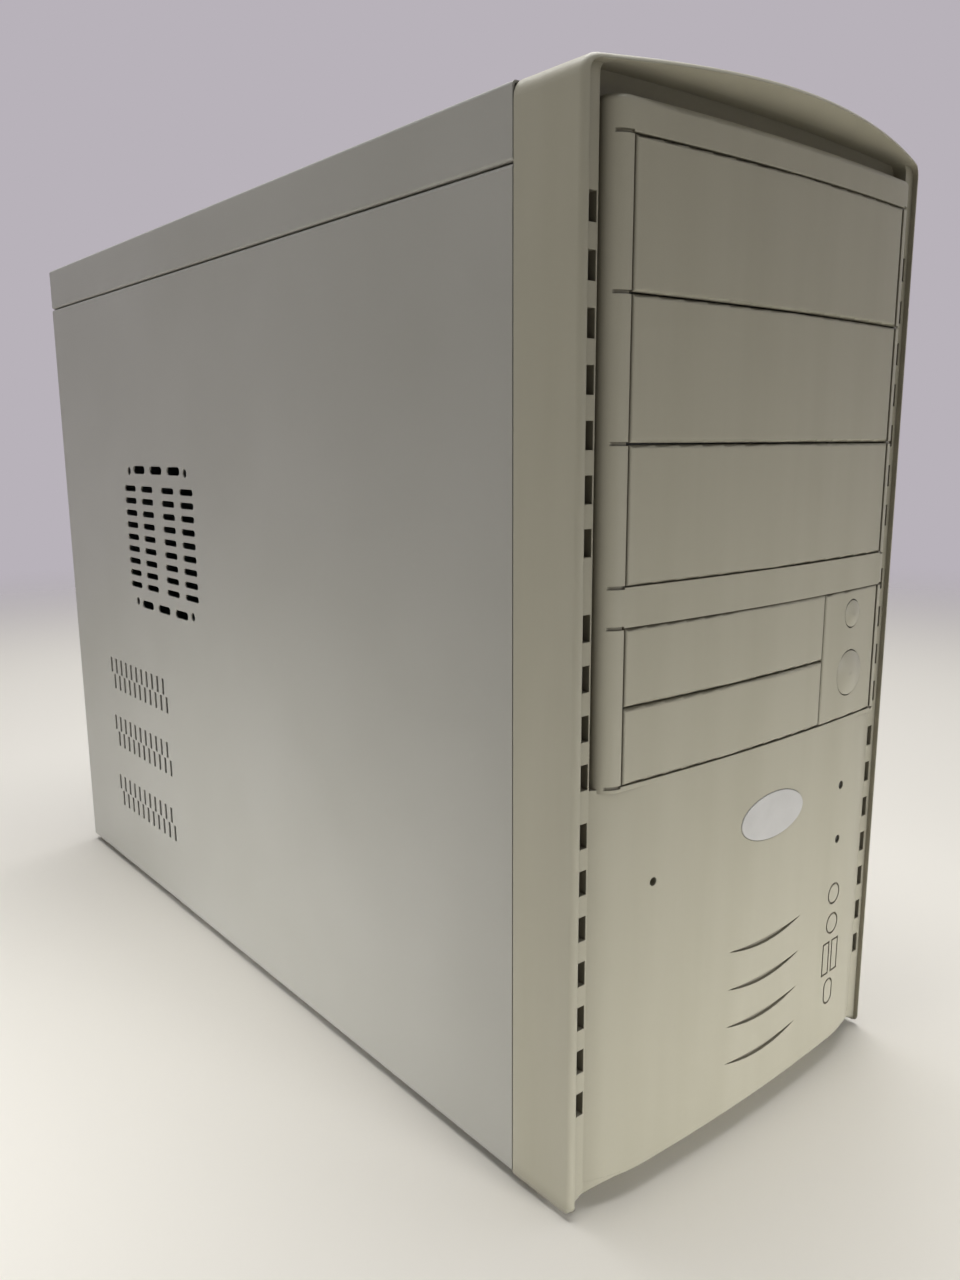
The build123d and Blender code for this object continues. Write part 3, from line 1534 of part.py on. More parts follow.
cpu_fan_x = board_x - heatsink_seat - heatsink_height
cpu_fan_plane = Plane(origin=(cpu_fan_x, vent_y, vent_z), x_dir=(0, 1, 0), z_dir=(-1, 0, 0))
save(fan_frame(cpu_fan_plane, cpu_fan_size, cpu_fan_depth), "cpu_fan_frame")
save(fan_rotor(cpu_fan_plane, cpu_fan_size, cpu_fan_depth), "cpu_fan_rotor")

# Memory sockets with their end latches, and one module
memory_ys = [board_front_y + memory_from_front + i * memory_pitch for i in range(memory_count)]
memory_z = board_top - memory_from_top - memory_length / 2
with BuildPart() as memory_sockets:
    for y in memory_ys:
        on_board(y, memory_z, memory_width, memory_length, 0, memory_height)
        for end in (-1, 1):
            latch_z = memory_z + end * (memory_length - memory_latch) / 2
            on_board(y, latch_z, memory_width, memory_latch, 0, memory_height + memory_latch_rise)
        on_board(
            y,
            memory_z,
            module_thick + 2 * module_clear,
            module_length + 2 * fit_gap,
            memory_height - module_sink,
            module_sink + memory_latch_rise,
            Mode.SUBTRACT,
        )
save(memory_sockets, "memory_sockets")

with BuildPart() as memory_module:
    module_seat = memory_height - module_sink
    on_board(memory_ys[0], memory_z, module_thick, module_length, module_seat, module_height)
    chip_pitch = module_length / chip_count
    for i in range(chip_count):
        chip_z = memory_z + (i - (chip_count - 1) / 2) * chip_pitch
        on_board(
            memory_ys[0] + (module_thick + chip_thick) / 2,
            chip_z,
            chip_thick,
            chip_width,
            module_seat + chip_lift,
            chip_height,
        )
save(memory_module, "memory_module")

# Expansion slots, level with the openings in the rear panel
with BuildPart() as expansion_slots:
    slot_y = board_rear_y - slot_from_rear - slot_length / 2
    for z in slot_zs:
        on_board(slot_y, z, slot_length, slot_width, 0, slot_height)
        groove_length = slot_length - 2 * slot_key_margin
        groove_base = slot_height - slot_key_depth
        on_board(slot_y, z, groove_length, slot_key, groove_base, slot_key_depth, Mode.SUBTRACT)
save(expansion_slots, "expansion_slots")

# Chipset heatsink: a small finned block
chipset_y = board_front_y + chipset_from_front
chipset_z = board_low + chipset_lift
with BuildPart() as chipset_heatsink:
    on_board(chipset_y, chipset_z, chipset_size, chipset_size, 0, chipset_base)
    fin_step = (chipset_size - chipset_fin_thick) / (chipset_fins - 1)
    for i in range(chipset_fins):
        fin_y = chipset_y + (i - (chipset_fins - 1) / 2) * fin_step
        on_board(fin_y, chipset_z, chipset_fin_thick, chipset_size, 0, chipset_height)
save(chipset_heatsink, "chipset_heatsink")

# Capacitors of the processor's supply
with BuildPart() as capacitors:
    for row in (-1, 0, 1):
        for column in (-1, 0, 1):
            y = board_rear_y - capacitor_from_rear + column * capacitor_pitch
            z = board_top - capacitor_from_top + row * capacitor_pitch
            rod("X", y, z, (board_x - capacitor_height, board_x), capacitor_radius)
save(capacitors, "capacitors")


# Board sockets for power and disks: open shrouds
def shroud(y, z, width, length, height, wall):
    """An upright open box on the board with a floor as thick as its wall."""
    on_board(y, z, width, length, 0, height)
    on_board(y, z, width - 2 * wall, length - 2 * wall, wall, height, Mode.SUBTRACT)


power_socket_y = board_front_y + power_socket_from_front
power_socket_z = board_top - power_socket_from_top
with BuildPart() as power_socket:
    shroud(
        power_socket_y,
        power_socket_z,
        power_socket_width,
        power_socket_length,
        power_socket_height,
        power_socket_wall,
    )
save(power_socket, "power_socket")

disk_socket_ys = [board_front_y + disk_socket_from_front + i * disk_socket_pitch for i in range(2)]
disk_socket_z = board_low + disk_socket_lift
with BuildPart() as disk_sockets:
    for y in disk_socket_ys:
        shroud(
            y, disk_socket_z, disk_socket_width, disk_socket_length, disk_socket_height, disk_socket_wall
        )
save(disk_sockets, "disk_sockets")

# Rear sockets, each with its mouth through the shield
mouth_y = rear_face_y + socket_proud
keyboard_z = aperture_top - keyboard_from_top
usb_zs = [aperture_top - usb_first, aperture_top - usb_second]
dsub_z = aperture_top - dsub_centre
dsub_x = board_x - dsub_flange_height / 2
parallel_x = dsub_x - dsub_flange_height - dsub_gap
jack_zs = [aperture_top - jack_first - i * jack_pitch for i in range(jack_count)]
small_dsub_zs = [dsub_z - (dsub_flange_width + dsub_gap) / 2, dsub_z + (dsub_flange_width + dsub_gap) / 2]

with BuildPart() as keyboard_ports:
    keyboard_ys = (mouth_y - keyboard_depth, mouth_y)
    block(
        (board_x - keyboard_height, board_x),
        keyboard_ys,
        (keyboard_z - keyboard_width / 2, keyboard_z + keyboard_width / 2),
    )
    for share in (1, 3):
        hole_x = board_x - keyboard_height * share / 4
        rod("Y", hole_x, keyboard_z, (mouth_y - keyboard_hole_depth, mouth_y), keyboard_hole, Mode.SUBTRACT)
save(keyboard_ports, "keyboard_ports")

with BuildPart() as usb_ports:
    for z in usb_zs:
        usb_zs_span = (z - usb_width / 2, z + usb_width / 2)
        block((board_x - usb_height, board_x), (mouth_y - usb_depth, mouth_y), usb_zs_span)
        mouth_height = (usb_height - 3 * usb_wall) / 2
        for i in range(2):
            mouth_x = board_x - usb_wall - i * (mouth_height + usb_wall)
            inner_zs = (usb_zs_span[0] + usb_wall, usb_zs_span[1] - usb_wall)
            mouth_ys = (mouth_y - usb_depth + usb_wall, mouth_y)
            block((mouth_x - mouth_height, mouth_x), mouth_ys, inner_zs, Mode.SUBTRACT)
            tongue_zs = (inner_zs[0] + usb_wall, inner_zs[1] - usb_wall)
            tongue_ys = (mouth_ys[0] - usb_wall / 2, mouth_y - usb_wall)
            block((mouth_x - mouth_height / 2, mouth_x - mouth_height / 2 + usb_tongue), tongue_ys, tongue_zs)
save(usb_ports, "usb_ports")


def dsub(x, z, flange_width, shell_width, foot_x):
    """A D-shaped connector: body down to foot_x, flange behind the shield and tapered shell through it."""
    flange_y = rear_inner_y - shield_thick
    block(
        (x - dsub_flange_height / 2, x + dsub_flange_height / 2),
        (flange_y - dsub_flange_thick, flange_y),
        (z - flange_width / 2, z + flange_width / 2),
    )
    block(
        (x - dsub_shell_height / 2, foot_x),
        (flange_y - dsub_depth, flange_y - dsub_flange_thick),
        (z - shell_width / 2, z + shell_width / 2),
    )
    shell_plane = Plane(origin=(x, flange_y, z), x_dir=(0, 0, 1), z_dir=(0, 1, 0))
    with BuildSketch(shell_plane) as shell:
        Trapezoid(shell_width, dsub_shell_height, dsub_shell_angle)
    extrude(shell.sketch, amount=dsub_shell_length)


with BuildPart() as parallel_port:
    dsub(parallel_x, dsub_z, parallel_width, parallel_shell_width, parallel_x + dsub_shell_height / 2)
    leg_y = rear_inner_y - shield_thick - dsub_depth
    block(
        (parallel_x - dsub_shell_height / 2, board_x),
        (leg_y - dsub_gap - parallel_leg, leg_y - dsub_gap),
        (dsub_z - parallel_shell_width / 2, dsub_z + parallel_shell_width / 2),
    )
    block(
        (parallel_x - dsub_shell_height / 2, parallel_x + dsub_shell_height / 2),
        (leg_y - dsub_gap, leg_y),
        (dsub_z - parallel_shell_width / 2, dsub_z + parallel_shell_width / 2),
    )
save(parallel_port, "parallel_port")

with BuildPart() as serial_video_ports:
    for z in small_dsub_zs:
        dsub(dsub_x, z, dsub_flange_width, dsub_shell_width, board_x)
save(serial_video_ports, "serial_video_ports")

with BuildPart() as audio_jacks:
    for z in jack_zs:
        jack_x = board_x - jack_height / 2
        flange_y = rear_inner_y - shield_thick
        jack_span = (z - jack_width / 2, z + jack_width / 2)
        block((board_x - jack_height, board_x), (flange_y - jack_depth, flange_y), jack_span)
        rod("Y", jack_x, z, (flange_y, mouth_y), jack_collar)
        rod("Y", jack_x, z, (flange_y - jack_depth / 2, mouth_y), jack_bore, Mode.SUBTRACT)
save(audio_jacks, "audio_jacks")

# Shield: thin plate behind the aperture with a hole for each socket
with BuildPart() as io_shield:
    shield_ys = (rear_inner_y - shield_thick, rear_inner_y)
    cut_ys = (shield_ys[0] - cut_over, shield_ys[1] + cut_over)
    block(
        (aperture_x - aperture_width - shield_margin, aperture_x + shield_margin),
        shield_ys,
        (aperture_low - shield_margin, aperture_top + shield_margin),
    )

    def socket_hole(x0, x1, z, width):
        """Cut the shield round a socket that spans two x places and is centred at z."""
        half = width / 2 + shield_clear
        block((x0 - shield_clear, x1 + shield_clear), cut_ys, (z - half, z + half), Mode.SUBTRACT)

    socket_hole(board_x - keyboard_height, board_x, keyboard_z, keyboard_width)
    for z in usb_zs:
        socket_hole(board_x - usb_height, board_x, z, usb_width)
    half_shell = dsub_shell_height / 2
    socket_hole(parallel_x - half_shell, parallel_x + half_shell, dsub_z, parallel_shell_width)
    for z in small_dsub_zs:
        socket_hole(dsub_x - half_shell, dsub_x + half_shell, z, dsub_shell_width)
    for z in jack_zs:
        rod("Y", board_x - jack_height / 2, z, cut_ys, jack_collar + shield_clear, Mode.SUBTRACT)
save(io_shield, "io_shield")

# Hard drive on the floor of the small cage, with its sockets at the rear end
drive_y0 = front_back_y + drive_setback
drive_y1 = drive_y0 + drive_length
drive_x0 = small_middle_x - drive_width / 2
drive_x1 = small_middle_x + drive_width / 2
drive_plug_x0 = drive_x0 + drive_plug_gap
drive_plug_x1 = drive_plug_x0 + drive_plug_length
drive_power_x1 = drive_x1 - drive_plug_gap
plug_low = drive_low + drive_plug_lift
plug_high = plug_low + drive_plug_height
with BuildPart() as hard_drive:
    block((drive_x0, drive_x1), (drive_y0, drive_y1), (drive_low, drive_low + drive_height))
    chamfer(hard_drive.edges().filter_by(Axis.Y).group_by(Axis.Z)[0], drive_chamfer)
    lid_faces = hard_drive.faces().sort_by(Axis.Z)[-1]
    with BuildSketch(lid_faces) as lid_step:
        Rectangle(drive_width, drive_length)
        Rectangle(drive_width - 2 * drive_lid_inset, drive_length - 2 * drive_lid_inset, mode=Mode.SUBTRACT)
    extrude(lid_step.sketch, amount=-drive_lid_step, mode=Mode.SUBTRACT)
    for xs in ((drive_plug_x0, drive_plug_x1), (drive_power_x1 - drive_power_length, drive_power_x1)):
        block(xs, (drive_y1 - drive_plug_depth, drive_y1 + cut_over), (plug_low, plug_high), Mode.SUBTRACT)
save(hard_drive, "hard_drive")


# Cables, each held at both ends: a round run of straight lengths and bends between its plugs
def cable_run(start, steps_out, end, steps_in, radius):
    """A round cable from start to end through bends placed from either end, each as wide as its runs allow."""
    places = [Vector(*start)]
    places += [Vector(*start) + Vector(*step) for step in steps_out]
    places += [Vector(*end) + Vector(*step) for step in steps_in]
    places.append(Vector(*end))
    bends = []
    for before, here, after in zip(places, places[1:], places[2:]):
        half_turn = (here - before).get_angle(after - here) / 2
        shorter = min((here - before).length, (after - here).length)
        bends.append(bend_share * shorter / tan(radians(half_turn)))
    with BuildLine() as route:
        FilletPolyline(*places, radius=bends)
    with BuildSketch(Plane(origin=places[0], z_dir=places[1] - places[0])) as section:
        Circle(radius)
    sweep(section.sketch, path=route.wire())


cable_y = drive_y1 + plug_thick
cable_z = (plug_low + plug_high) / 2
data_x = (drive_plug_x0 + drive_plug_x1) / 2
drive_power_x = drive_power_x1 - drive_power_length / 2
plug_zs = (plug_low + plug_clear, plug_high - plug_clear)
plug_ys = (drive_y1 - drive_plug_depth + plug_clear, cable_y)
disk_plug_x = board_x - disk_socket_height - plug_thick
power_plug_x = board_x - power_socket_height - plug_thick

with BuildPart() as disk_data_cable:
    block((drive_plug_x0 + plug_clear, drive_plug_x1 - plug_clear), plug_ys, plug_zs)
    seat = disk_socket_wall + plug_clear
    block(
        (disk_plug_x, board_x - seat),
        (disk_socket_ys[0] - disk_socket_width / 2 + seat, disk_socket_ys[0] + disk_socket_width / 2 - seat),
        (disk_socket_z - disk_socket_length / 2 + seat, disk_socket_z + disk_socket_length / 2 - seat),
    )
    cable_run(
        (data_x, cable_y - plug_sink, cable_z),
        data_steps_out,
        (disk_plug_x + plug_sink, disk_socket_ys[0], disk_socket_z),
        data_steps_in,
        data_cable_radius,
    )
save(disk_data_cable, "disk_data_cable")

with BuildPart() as main_power_cable:
    seat = power_socket_wall + plug_clear
    block(
        (power_plug_x, board_x - seat),
        (power_socket_y - power_socket_width / 2 + seat, power_socket_y + power_socket_width / 2 - seat),
        (power_socket_z - power_socket_length / 2 + seat, power_socket_z + power_socket_length / 2 - seat),
    )
    cable_run(
        (main_exit_x, psu_front_y + plug_sink, main_exit_z),
        main_steps_out,
        (power_plug_x + plug_sink, power_socket_y, power_socket_z),
        main_steps_in,
        main_cable_radius,
    )
save(main_power_cable, "main_power_cable")

with BuildPart() as drive_power_cable:
    block((drive_power_x1 - drive_power_length + plug_clear, drive_power_x1 - plug_clear), plug_ys, plug_zs)
    cable_run(
        (drive_exit_x, psu_front_y + plug_sink, main_exit_z),
        drive_steps_out,
        (drive_power_x, cable_y - plug_sink, cable_z),
        drive_steps_in,
        drive_cable_radius,
    )
save(drive_power_cable, "drive_power_cable")
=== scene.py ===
import bmesh
import bpy
import numpy as np
from mathutils import Matrix, Vector


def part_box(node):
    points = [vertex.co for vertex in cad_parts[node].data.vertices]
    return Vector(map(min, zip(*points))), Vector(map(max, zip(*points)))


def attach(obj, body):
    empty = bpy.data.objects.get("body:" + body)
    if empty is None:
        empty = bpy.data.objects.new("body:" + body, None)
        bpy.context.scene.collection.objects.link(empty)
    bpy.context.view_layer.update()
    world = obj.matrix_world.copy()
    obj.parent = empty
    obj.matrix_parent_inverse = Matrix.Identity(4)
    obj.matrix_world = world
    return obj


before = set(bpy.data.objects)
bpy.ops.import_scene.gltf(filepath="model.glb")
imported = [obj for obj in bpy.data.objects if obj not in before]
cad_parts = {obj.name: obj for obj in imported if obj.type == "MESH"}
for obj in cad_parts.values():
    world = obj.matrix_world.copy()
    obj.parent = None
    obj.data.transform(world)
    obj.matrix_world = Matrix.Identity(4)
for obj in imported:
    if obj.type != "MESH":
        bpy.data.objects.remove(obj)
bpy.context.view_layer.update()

# Base pan, front plate, rear panel and motherboard tray: the chassis of 0.8 mm steel, punched, folded and
# riveted, left bare with its electroplated zinc, an even dull grey with a fine grain from the rolling mill.


def srgb(r, g, b):
    """Linear colour of an 8-bit screen colour: each channel raised by the sRGB curve."""
    c = np.array((r, g, b)) / 255.0
    c = np.where(c <= 0.04045, c / 12.92, ((c + 0.055) / 1.055) ** 2.4)
    return (*c.tolist(), 1.0)


def finish(name, roughness, metallic=0.0):
    """New node material with a principled shader whose even values sit on its own sockets."""
    material = bpy.data.materials.new(name)
    material.use_nodes = True
    shader = material.node_tree.nodes["Principled BSDF"]
    shader.inputs["Roughness"].default_value = roughness
    shader.inputs["Metallic"].default_value = metallic
    return material


def node(material, kind, **inputs):
    """Add a shader node. Inputs name its sockets, or count them as i0, i1 and so on; a value that is a socket
    gets linked."""
    tree = material.node_tree
    new = tree.nodes.new(kind)
    for key, value in inputs.items():
        counted = key[0] == "i" and key[1:].isdigit()
        socket = new.inputs[int(key[1:]) if counted else key.replace("_", " ")]
        if isinstance(value, bpy.types.NodeSocket):
            tree.links.new(value, socket)
        else:
            socket.default_value = value
    return new


def place(material, stretch=(1.0, 1.0, 1.0)):
    """Object coordinates, stretched along the three axes."""
    coords = node(material, "ShaderNodeTexCoord").outputs["Object"]
    return node(material, "ShaderNodeMapping", Vector=coords, Scale=stretch).outputs["Vector"]


def blotch(material, size, detail=3.0, stretch=(1.0, 1.0, 1.0)):
    """Noise whose patches are about size metres across."""
    spot = place(material, stretch)
    return node(material, "ShaderNodeTexNoise", Vector=spot, Scale=1.0 / size, Detail=detail).outputs["Fac"]


def tones(material, factor, *stops):
    """Colour ramp over a factor; each stop is a place from 0 to 1 and a colour."""
    ramp = node(material, "ShaderNodeValToRGB", Fac=factor)
    elements = ramp.color_ramp.elements
    while len(elements) < len(stops):
        elements.new(0.5)
    for element, (spot, tone) in zip(elements, stops):
        element.position = spot
        element.color = tone
    return ramp.outputs["Color"]


def spread(material, factor, low, high):
    """Map a factor from 0..1 to low..high."""
    return node(material, "ShaderNodeMapRange", Value=factor, i3=low, i4=high).outputs["Result"]


def colour(material, socket):
    """Link a colour to the shader."""
    shader = material.node_tree.nodes["Principled BSDF"]
    material.node_tree.links.new(socket, shader.inputs["Base Color"])


def sheen_spread(material, socket):
    """Link a roughness that varies over the surface."""
    shader = material.node_tree.nodes["Principled BSDF"]
    material.node_tree.links.new(socket, shader.inputs["Roughness"])


def relief(material, height, depth, strength=1.0, edge=0.0):
    """Bump of a height field depth metres deep, over edges rounded to edge metres."""
    shader = material.node_tree.nodes["Principled BSDF"]
    bump = node(material, "ShaderNodeBump", Height=height, Distance=depth, Strength=strength)
    if edge > 0:
        rounded = node(material, "ShaderNodeBevel", Radius=edge)
        rounded.samples = 4
        material.node_tree.links.new(rounded.outputs["Normal"], bump.inputs["Normal"])
    material.node_tree.links.new(bump.outputs["Normal"], shader.inputs["Normal"])


def dress(material, *names):
    """Give each named CAD node this material alone."""
    for name in names:
        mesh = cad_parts[name].data
        mesh.materials.clear()
        mesh.materials.append(material)


zinc = finish("zinc_plated_sheet", 0.4, metallic=1.0)
grain = blotch(zinc, 0.0014, detail=4.0, stretch=(1.0, 1.0, 0.12))
colour(zinc, tones(zinc, blotch(zinc, 0.04), (0.3, srgb(178, 180, 182)), (0.7, srgb(192, 194, 196))))
sheen_spread(zinc, spread(zinc, grain, 0.34, 0.52))
relief(zinc, grain, 0.00002, edge=0.0003)
dress(zinc, "base_pan", "front_plate", "rear_panel", "motherboard_tray")

# Feet: four soft black rubber buttons, each pulled by its peg through a hole in the base pan.
# Dust dulls them in patches.
foot_rubber = finish("foot_rubber", 0.75)
dust = blotch(foot_rubber, 0.006)
colour(foot_rubber, tones(foot_rubber, dust, (0.3, srgb(30, 30, 31)), (0.75, srgb(58, 57, 55))))
relief(foot_rubber, blotch(foot_rubber, 0.0008), 0.00005, edge=0.0006)
dress(foot_rubber, "case_feet")

# Drive cages, slot covers and socket shield: thinner zinc plated strip, brighter than the chassis, with the
# long fine streaks of its rolling.
strip = finish("rolled_zinc_strip", 0.36, metallic=1.0)
streaks = blotch(strip, 0.0012, stretch=(0.06, 0.06, 1.0))
colour(strip, tones(strip, streaks, (0.25, srgb(186, 188, 190)), (0.75, srgb(198, 199, 200))))
sheen_spread(strip, spread(strip, streaks, 0.3, 0.42))
relief(strip, streaks, 0.00001, edge=0.0003)
dress(strip, "bay_cage", "small_cage", "slot_covers", "io_shield")

# Board stand-offs and screws: turned brass hexagons screwed into the tray, and nickel plated pan screws that
# hold the board down on them.


def nickel_tone(material):
    """Colour of bright nickel plate, a little uneven."""
    return tones(material, blotch(material, 0.003), (0.3, srgb(188, 188, 186)), (0.8, srgb(220, 220, 217)))


brass = finish("turned_brass", 0.3, metallic=1.0)
colour(brass, tones(brass, blotch(brass, 0.002), (0.3, srgb(172, 136, 70)), (0.8, srgb(204, 168, 96))))
relief(brass, blotch(brass, 0.0004, stretch=(8.0, 1.0, 1.0)), 0.00002)
dress(brass, "standoffs")
nickel = finish("nickel_plate", 0.26, metallic=1.0)
colour(nickel, nickel_tone(nickel))
relief(nickel, blotch(nickel, 0.0005), 0.00001, edge=0.0003)
dress(nickel, "board_screws")

# Case screws: nickel plated pan heads that hold the power supply and the slot covers to the rear panel. Each
# head has a pressed cross recess, with painted shade inside; folds of the coordinates put one on every head.
supply_middle_z = 0.3122
supply_screw_x = 0.069
supply_screw_z = 0.0365
slot_screw_x = -0.0375
slot_first_z = 0.02304
slot_pitch = 0.02032
slots_below = 0.2


def calc(material, operation, first, second=0.0):
    """Socket with the result of one math node."""
    step = node(material, "ShaderNodeMath", i0=first, i1=second)
    step.operation = operation
    return step.outputs["Value"]


def coordinate(material, axis):
    """Socket with one object coordinate, X, Y or Z."""
    return node(material, "ShaderNodeSeparateXYZ", Vector=place(material)).outputs[axis]


def off_pair(material, socket, middle, reach):
    """Distance of a coordinate from the nearer of two places, reach metres to either side of a middle."""
    off_middle = calc(material, "ABSOLUTE", calc(material, "SUBTRACT", socket, middle))
    return calc(material, "ABSOLUTE", calc(material, "SUBTRACT", off_middle, reach))


def blend_of(material, factor, first, second):
    """Mix two colours by a factor."""
    mix = material.node_tree.nodes.new("ShaderNodeMix")
    mix.data_type = "RGBA"
    for socket, value in ((mix.inputs[0], factor), (mix.inputs[6], first), (mix.inputs[7], second)):
        if isinstance(value, bpy.types.NodeSocket):
            material.node_tree.links.new(value, socket)
        else:
            socket.default_value = value
    return mix.outputs[2]


def cross_recess(material, across, along):
    """Nickel with a cross of painted shade, where one of two distances from a head's middle is under half an
    arm's width and the other under an arm's length."""
    half_width = 0.00045
    arm_length = 0.0019
    arms = []
    for narrow, long in ((across, along), (along, across)):
        in_width = calc(material, "LESS_THAN", narrow, half_width)
        in_length = calc(material, "LESS_THAN", long, arm_length)
        arms.append(calc(material, "MULTIPLY", in_width, in_length))
    cross = calc(material, "MAXIMUM", *arms)
    # Painted shade: the recess is a near black cross on the nickel.
    colour(material, blend_of(material, cross, nickel_tone(material), srgb(46, 46, 45)))
    relief(material, calc(material, "SUBTRACT", 1.0, cross), 0.0004, edge=0.0003)


crossed = finish("cross_headed_nickel", 0.28, metallic=1.0)
spot_x = coordinate(crossed, "X")
spot_z = coordinate(crossed, "Z")
on_supply = calc(crossed, "GREATER_THAN", spot_z, slots_below)
on_slots = calc(crossed, "SUBTRACT", 1.0, on_supply)
supply_offs = (
    off_pair(crossed, spot_x, 0.0, supply_screw_x),
    off_pair(crossed, spot_z, supply_middle_z, supply_screw_z),
)
slot_offs = (
    calc(crossed, "ABSOLUTE", calc(crossed, "SUBTRACT", spot_x, slot_screw_x)),
    calc(crossed, "PINGPONG", calc(crossed, "SUBTRACT", spot_z, slot_first_z), slot_pitch / 2),
)
head_offs = [
    calc(crossed, "ADD", calc(crossed, "MULTIPLY", a, on_supply), calc(crossed, "MULTIPLY", b, on_slots))
    for a, b in zip(supply_offs, slot_offs)
]
cross_recess(crossed, *head_offs)
dress(crossed, "case_screws")

# Motherboard and its small boards: glass fibre sheet under green solder mask. Copper tracks lie under the
# mask as slightly lighter raised lines, with tinned pads between them.
pad_radius_share = 0.16
field_level = 0.52
solder_mask = finish("solder_mask", 0.32)
board_place = place(solder_mask)
tracks = node(
    solder_mask,
    "ShaderNodeTexBrick",
    Vector=board_place,
    Scale=170.0,
    Mortar_Size=0.09,
    Bias=-0.2,
    Color1=srgb(20, 74, 44),
    Color2=srgb(26, 84, 50),
    Mortar=srgb(44, 108, 66),
)
tracks.offset = 0.37
pads = node(solder_mask, "ShaderNodeTexVoronoi", Vector=board_place, Scale=420.0, Randomness=0.6)
pad_spots = calc(solder_mask, "LESS_THAN", pads.outputs["Distance"], pad_radius_share)
pad_fields = calc(solder_mask, "GREATER_THAN", blotch(solder_mask, 0.02), field_level)
tinned = calc(solder_mask, "MULTIPLY", pad_spots, pad_fields)
colour(solder_mask, blend_of(solder_mask, tinned, tracks.outputs["Color"], srgb(186, 188, 184)))
relief(solder_mask, tracks.outputs["Fac"], 0.00003)
dress(solder_mask, "motherboard", "switch_board", "memory_module")

# Processor, its socket and the two heatsinks: an off-white zero force socket, a nickel plated heat
# spreader, and extruded aluminium fins with fine draw lines along them. The expansion slots and the power
# socket are of the same off-white nylon.
ivory = finish("ivory_nylon", 0.48)
colour(ivory, tones(ivory, blotch(ivory, 0.01), (0.3, srgb(214, 208, 190)), (0.8, srgb(228, 223, 208))))
relief(ivory, blotch(ivory, 0.0006), 0.00003, edge=0.0003)
dress(ivory, "cpu_socket", "expansion_slots", "power_socket")
extruded = finish("extruded_aluminium", 0.34, metallic=1.0)
draw = blotch(extruded, 0.0012, stretch=(1.0, 0.04, 1.0))
colour(extruded, tones(extruded, draw, (0.25, srgb(196, 198, 200)), (0.8, srgb(222, 223, 224))))
sheen_spread(extruded, spread(extruded, draw, 0.26, 0.42))
relief(extruded, draw, 0.00002)
dress(extruded, "cpu_heatsink", "chipset_heatsink")
dress(nickel, "processor")

# Fans, memory sockets and front switches: black glass filled nylon, moulded, with the pale flow marks that
# such mouldings have.
nylon = finish("fan_black", 0.5)
colour(nylon, tones(nylon, blotch(nylon, 0.015), (0.3, srgb(28, 28, 29)), (0.8, srgb(46, 46, 47))))
sheen_spread(nylon, spread(nylon, blotch(nylon, 0.008), 0.4, 0.6))
relief(nylon, blotch(nylon, 0.0007), 0.00004, edge=0.0004)
dress(nylon, "cpu_fan_frame", "cpu_fan_rotor", "psu_fan_frame", "psu_fan_rotor")
dress(nylon, "memory_sockets", "front_switches")

# Capacitors of the processor's supply: aluminium cans soldered to the board, each in a shrunk plastic sleeve.
# Their tops show bare and look to the left.
square_on = 0.7


def facing(material, axis, kind):
    """Socket with one part, X, Y or Z, of the surface's direction."""
    normal = node(material, "ShaderNodeNewGeometry").outputs[kind]
    return node(material, "ShaderNodeSeparateXYZ", Vector=normal).outputs[axis]


def bare_metal(material, socket):
    """Link how far the surface is bare metal, from 0 to 1."""
    shader = material.node_tree.nodes["Principled BSDF"]
    material.node_tree.links.new(socket, shader.inputs["Metallic"])


sleeve = finish("capacitor_sleeve", 0.3)
can_top = calc(sleeve, "LESS_THAN", facing(sleeve, "X", "Normal"), -square_on)
wrap = tones(sleeve, blotch(sleeve, 0.004), (0.3, srgb(22, 24, 48)), (0.8, srgb(34, 38, 72)))
colour(sleeve, blend_of(sleeve, can_top, wrap, srgb(196, 198, 200)))
bare_metal(sleeve, can_top)
dress(sleeve, "capacitors")

# Stacked rear sockets for flat plugs: tinned shells, folded from thin steel and soldered to the board, with
# their mouths through the shield.


def tinned_tone(material):
    """Colour of tinned steel, a little uneven."""
    return tones(material, blotch(material, 0.004), (0.3, srgb(186, 187, 188)), (0.8, srgb(214, 214, 213)))


shell = finish("tinned_shell", 0.28, metallic=1.0)
colour(shell, tinned_tone(shell))
relief(shell, blotch(shell, 0.0006), 0.00001, edge=0.0003)
dress(shell, "usb_ports")

# Serial and video sockets: tinned D-shaped shells round a coloured insert with rows of contact holes. The
# insert shows only on the mouth, the face that looks to the rear.
short_port_x = 0.0685
short_port_width = 0.017
serial_z = 0.2016
video_z = 0.1700
wide_pitch = 0.00276
close_pitch = 0.00229
row_half = 0.00142
row_step = 0.00198


